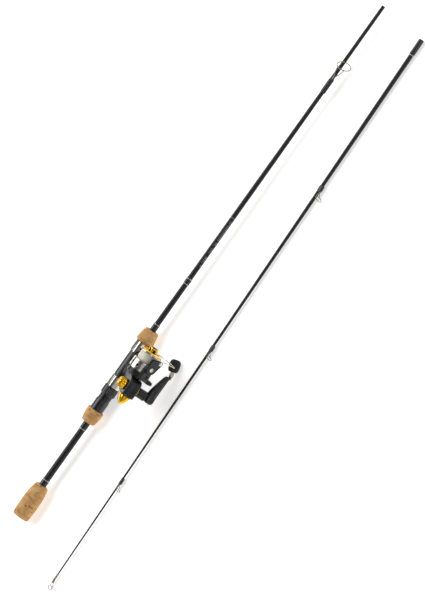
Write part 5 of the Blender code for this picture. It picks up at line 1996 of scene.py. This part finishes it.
@dataclass(frozen=True)
class Spool:
    """The spool with its line, gold lip and drag knob, on the main shaft."""

    ports: int = 9
    port_x: float = 267.6
    port_radius: float = 1.9
    port_depth: float = 0.85
    skirt_radius: float = 16.2
    line_pitch: float = 0.42
    knob_lobes: int = 5
    knob_turn: float = 40.0
    knob_valley: tuple[float, float] = (290.1, 294.7)

    def _spool(self) -> Grid:
        """Turn the spool, and press round ports into its skirt: the radius drops by the
        port's depth where the distance from the nearest port's middle is small.

        Returns:
            The surface.
        """
        outline = softened(((273.2, 1.9), (273.2, 15.0), (261.5, 15.0), (261.5, 16.2),
                            (274.4, 16.2), (275.2, 15.4), (275.2, 9.0), (287.2, 9.0),
                            (287.2, 15.2), (287.9, 16.4), (289.2, 16.4), (289.6, 15.8),
                            (289.6, 11.0), (288.4, 11.0), (288.4, 8.0), (281.0, 8.0),
                            (281.0, 1.9)), 0.4, closed=True)
        outline = respaced(np.vstack([outline, outline[:1]]), 0.4)[:-1]
        around = self.ports * 24
        angle = turns(around)[None, :]
        radius = np.repeat(outline[:, 1:], around, axis=1)
        share = (angle / TAU * self.ports + 0.5) % 1.0 - 0.5
        round_mm = share * TAU * self.skirt_radius / self.ports
        reach = np.hypot(round_mm, outline[:, :1] - self.port_x)
        skirt = (radius > 15.7) * (outline[:, :1] < 275.0)
        press = self.port_depth * skirt * (1.0 - smoothstep(self.port_radius - 0.35,
                                                             self.port_radius + 0.1, reach))
        return revolved(outline[:, 0], radius - press, SPOOL_FRAME, True)

    def _line(self) -> Grid:
        """Work out the wound line: turns side by side, whose ridges follow the length
        less the turn's share of the pitch, on a bundle that swells in its middle.

        Returns:
            The surface.
        """
        along = np.arange(275.5, 286.92, self.line_pitch / 7.0)
        angle = turns(90)[None, :]
        phase = (along[:, None] / self.line_pitch - angle / TAU) % 1.0
        ridge = np.sqrt(np.clip(1.0 - (2.0 * phase - 1.0)**2, 0.0, 1.0))
        ends = np.minimum(along - 275.5, 286.9 - along)
        swell = 12.55 + 0.62 * smoothstep(0.0, 3.5, ends)
        drift = 0.05 * np.sin(3.0 * angle + along[:, None] * 2.1)
        radius = swell[:, None] + 0.15 * ridge + drift
        rows = np.concatenate([along, [286.9, 275.5]])
        return revolved(rows, np.concatenate([radius, np.full((2, 90), 9.3)]), SPOOL_FRAME, True)

    def build(self, shop: Workshop) -> None:
        """Make the spool and the drag knob.

        Args:
            shop: What makes the pieces.
        """
        # The skirt's ports carry painted shade in their bottoms, from their finish.
        shop.piece("spool_shell", Body.SPOOL, [self._spool()], PORTED_CHROME, ["spool"])
        lip = turned(((289.9, 11.0), (289.9, 15.7), (290.4, 15.7), (291.4, 14.2), (291.4, 11.0)),
                     SPOOL_FRAME, 96, 0.3)
        shop.piece("spool_lip_ring", Body.SPOOL, [lip], GOLD, ["spool_lip"])
        shop.piece("wound_line_bundle", Body.SPOOL, [self._line()], NYLON, ["wound_line"])
        knob = lobed(((285.8, 7.6, 0.0), (289.2, 7.6, 0.0), (289.8, 6.9, 0.4), (290.2, 6.7, 1.3),
                      (294.4, 6.6, 1.5), (294.8, 6.6, 0.5), (296.2, 6.5, 0.3), (296.7, 5.9, 0.2)),
                     self.knob_lobes,
                     arm_frame(self.knob_turn), 0.4, 1.9)
        shop.piece("drag_knob_wheel", Body.DRAG, [knob], LOBED_GOLD, ["drag_knob"])
        cap = turned(((296.0, 0.0), (296.0, 4.8), (296.9, 4.7), (297.4, 3.9), (297.6, 2.2),
                      (297.3, 1.2), (297.3, 0.0)), SPOOL_FRAME, 56, 0.35, hollow=False)
        shop.piece("drag_cap_disc", Body.DRAG, [cap], RUBBER, ["drag_cap"])
        shop.dress(["main_shaft", "drag_washers"], STEEL)


# ------------------------------------------------------------------ studio


@dataclass(frozen=True)
class Softbox:
    """A large area light that faces the object."""

    name: str
    place: tuple[float, float, float]
    size: tuple[float, float]
    power: float

    def build(self) -> None:
        """Make the light."""
        data = bpy.data.lights.new(self.name, "AREA")
        data.shape = "RECTANGLE"
        data.size, data.size_y = self.size
        data.energy = self.power
        made = bpy.data.objects.new(self.name, data)
        bpy.context.scene.collection.objects.link(made)
        made.location = self.place
        made.rotation_euler = (-Vector(self.place)).to_track_quat("-Z", "Y").to_euler()


@dataclass(frozen=True)
class Studio:
    """A pale floor, soft light, and the camera."""

    target: tuple[float, float, float] = (-4.6, -3.36, 10.0)
    azimuth: float = 12.716
    elevation: float = 50.826
    roll: float = -64.443
    distance: float = 20000.0
    focal: float = 15105.81
    frame_height: float = 600.0
    film: float = 36.0
    lights: tuple[Softbox, ...] = (
        Softbox("long_softbox", (0.1, 1.25, 1.55), (3.2, 1.35), 34.0),
        Softbox("front_softbox", (0.5, -2.2, 1.5), (0.8, 0.5), 5.0),
    )

    def _camera(self) -> None:
        """Stand the camera off from the target, and roll it."""
        azimuth, elevation = math.radians(self.azimuth), math.radians(self.elevation)
        back = np.array([math.sin(azimuth) * math.cos(elevation),
                         -math.cos(azimuth) * math.cos(elevation), math.sin(elevation)])
        level = unit(np.cross(-back, (0.0, 0.0, 1.0)))
        above = np.cross(level, -back)
        roll = math.radians(self.roll)
        right = math.cos(roll) * level + math.sin(roll) * above
        up = np.cross(back, right)
        data = bpy.data.cameras.new("camera")
        data.sensor_width = self.film
        data.lens = self.focal / self.frame_height * self.film
        data.clip_end = 100.0
        made = bpy.data.objects.new("camera", data)
        bpy.context.scene.collection.objects.link(made)
        matrix = Matrix(np.stack([right, up, back], axis=1).tolist()).to_4x4()
        matrix.translation = Vector((np.array(self.target) + back * self.distance) * MM)
        made.matrix_world = matrix
        bpy.context.scene.camera = made

    @staticmethod
    def _floor() -> None:
        """Lay a large pale floor just under the object."""
        mesh = bpy.data.meshes.new("floor")
        half = 12.0
        mesh.from_pydata([(-half, -half, 0), (half, -half, 0), (half, half, 0), (-half, half, 0)],
                         [], [(0, 1, 2, 3)])
        graph = Graph("pale_floor")
        cloud = graph.noise(1.5, 2.0)
        mesh.materials.append(graph.finish(
            Base_Color=graph.mix(cloud, (0.90, 0.90, 0.90), (0.93, 0.93, 0.93)),
            Roughness=cloud.ramp(0.3, 0.7, 0.85, 0.95), Specular_IOR_Level=0.1,
            Emission_Color=(1.0, 1.0, 1.0, 1.0), Emission_Strength=0.52))
        floor = bpy.data.objects.new("floor", mesh)
        bpy.context.scene.collection.objects.link(floor)

    @staticmethod
    def _sky() -> None:
        """Light the room by the angle round the rod's direction, from the back horizon
        over the top to the front: dark walls, a dark ceiling, and a pale front."""
        world = bpy.data.worlds.new("room")
        bpy.context.scene.world = world
        world.use_nodes = True
        tree = world.node_tree
        background = tree.nodes["Background"]
        place = tree.nodes.new("ShaderNodeTexCoord")
        split = tree.nodes.new("ShaderNodeSeparateXYZ")
        angle = tree.nodes.new("ShaderNodeMath")
        angle.operation = "ARCTAN2"
        share = tree.nodes.new("ShaderNodeMath")
        share.operation = "MULTIPLY_ADD"
        share.inputs[1].default_value = 1.0 / TAU
        share.inputs[2].default_value = 0.5
        ramp = tree.nodes.new("ShaderNodeValToRGB")
        stops = ((0.50, 0.16), (0.58, 0.20), (0.60, 0.55), (0.70, 0.55), (0.73, 0.10),
                 (0.81, 0.10), (0.86, 0.50), (1.00, 0.46))
        elements = ramp.color_ramp.elements
        for number, (position, level) in enumerate(stops):
            stop = elements[number] if number < 2 else elements.new(position)
            stop.position = position
            stop.color = (level, level * 0.98, level * 0.94, 1.0)
        tree.links.new(place.outputs["Generated"], split.inputs[0])
        tree.links.new(split.outputs["Z"], angle.inputs[0])
        tree.links.new(split.outputs["Y"], angle.inputs[1])
        tree.links.new(angle.outputs[0], share.inputs[0])
        tree.links.new(share.outputs[0], ramp.inputs[0])
        tree.links.new(ramp.outputs[0], background.inputs["Color"])
        background.inputs["Strength"].default_value = 1.0

    def build(self) -> None:
        """Make the floor, the lights and the camera."""
        self._camera()
        self._floor()
        self._sky()
        for light in self.lights:
            light.build()
        bpy.context.scene.view_settings.view_transform = "Standard"


def main() -> None:
    """Build every sub-assembly in order, then the studio."""
    logging.basicConfig(level=logging.INFO, format="%(name)s: %(message)s")
    shop = Workshop()
    for assembly in (BLANK, CorkGrips(), ThreadWraps(), Guides(), ReelSeat(), GearCase(), Crank(),
                     CrankKnob(), Rotor(), Bail(), Spool()):
        assembly.build(shop)
        LOG.info("%s is built", type(assembly).__name__)
    Studio().build()
    bpy.context.view_layer.update()
    LOG.info("%d pieces", len(shop.made))


if __name__ == "__main__":
    main()
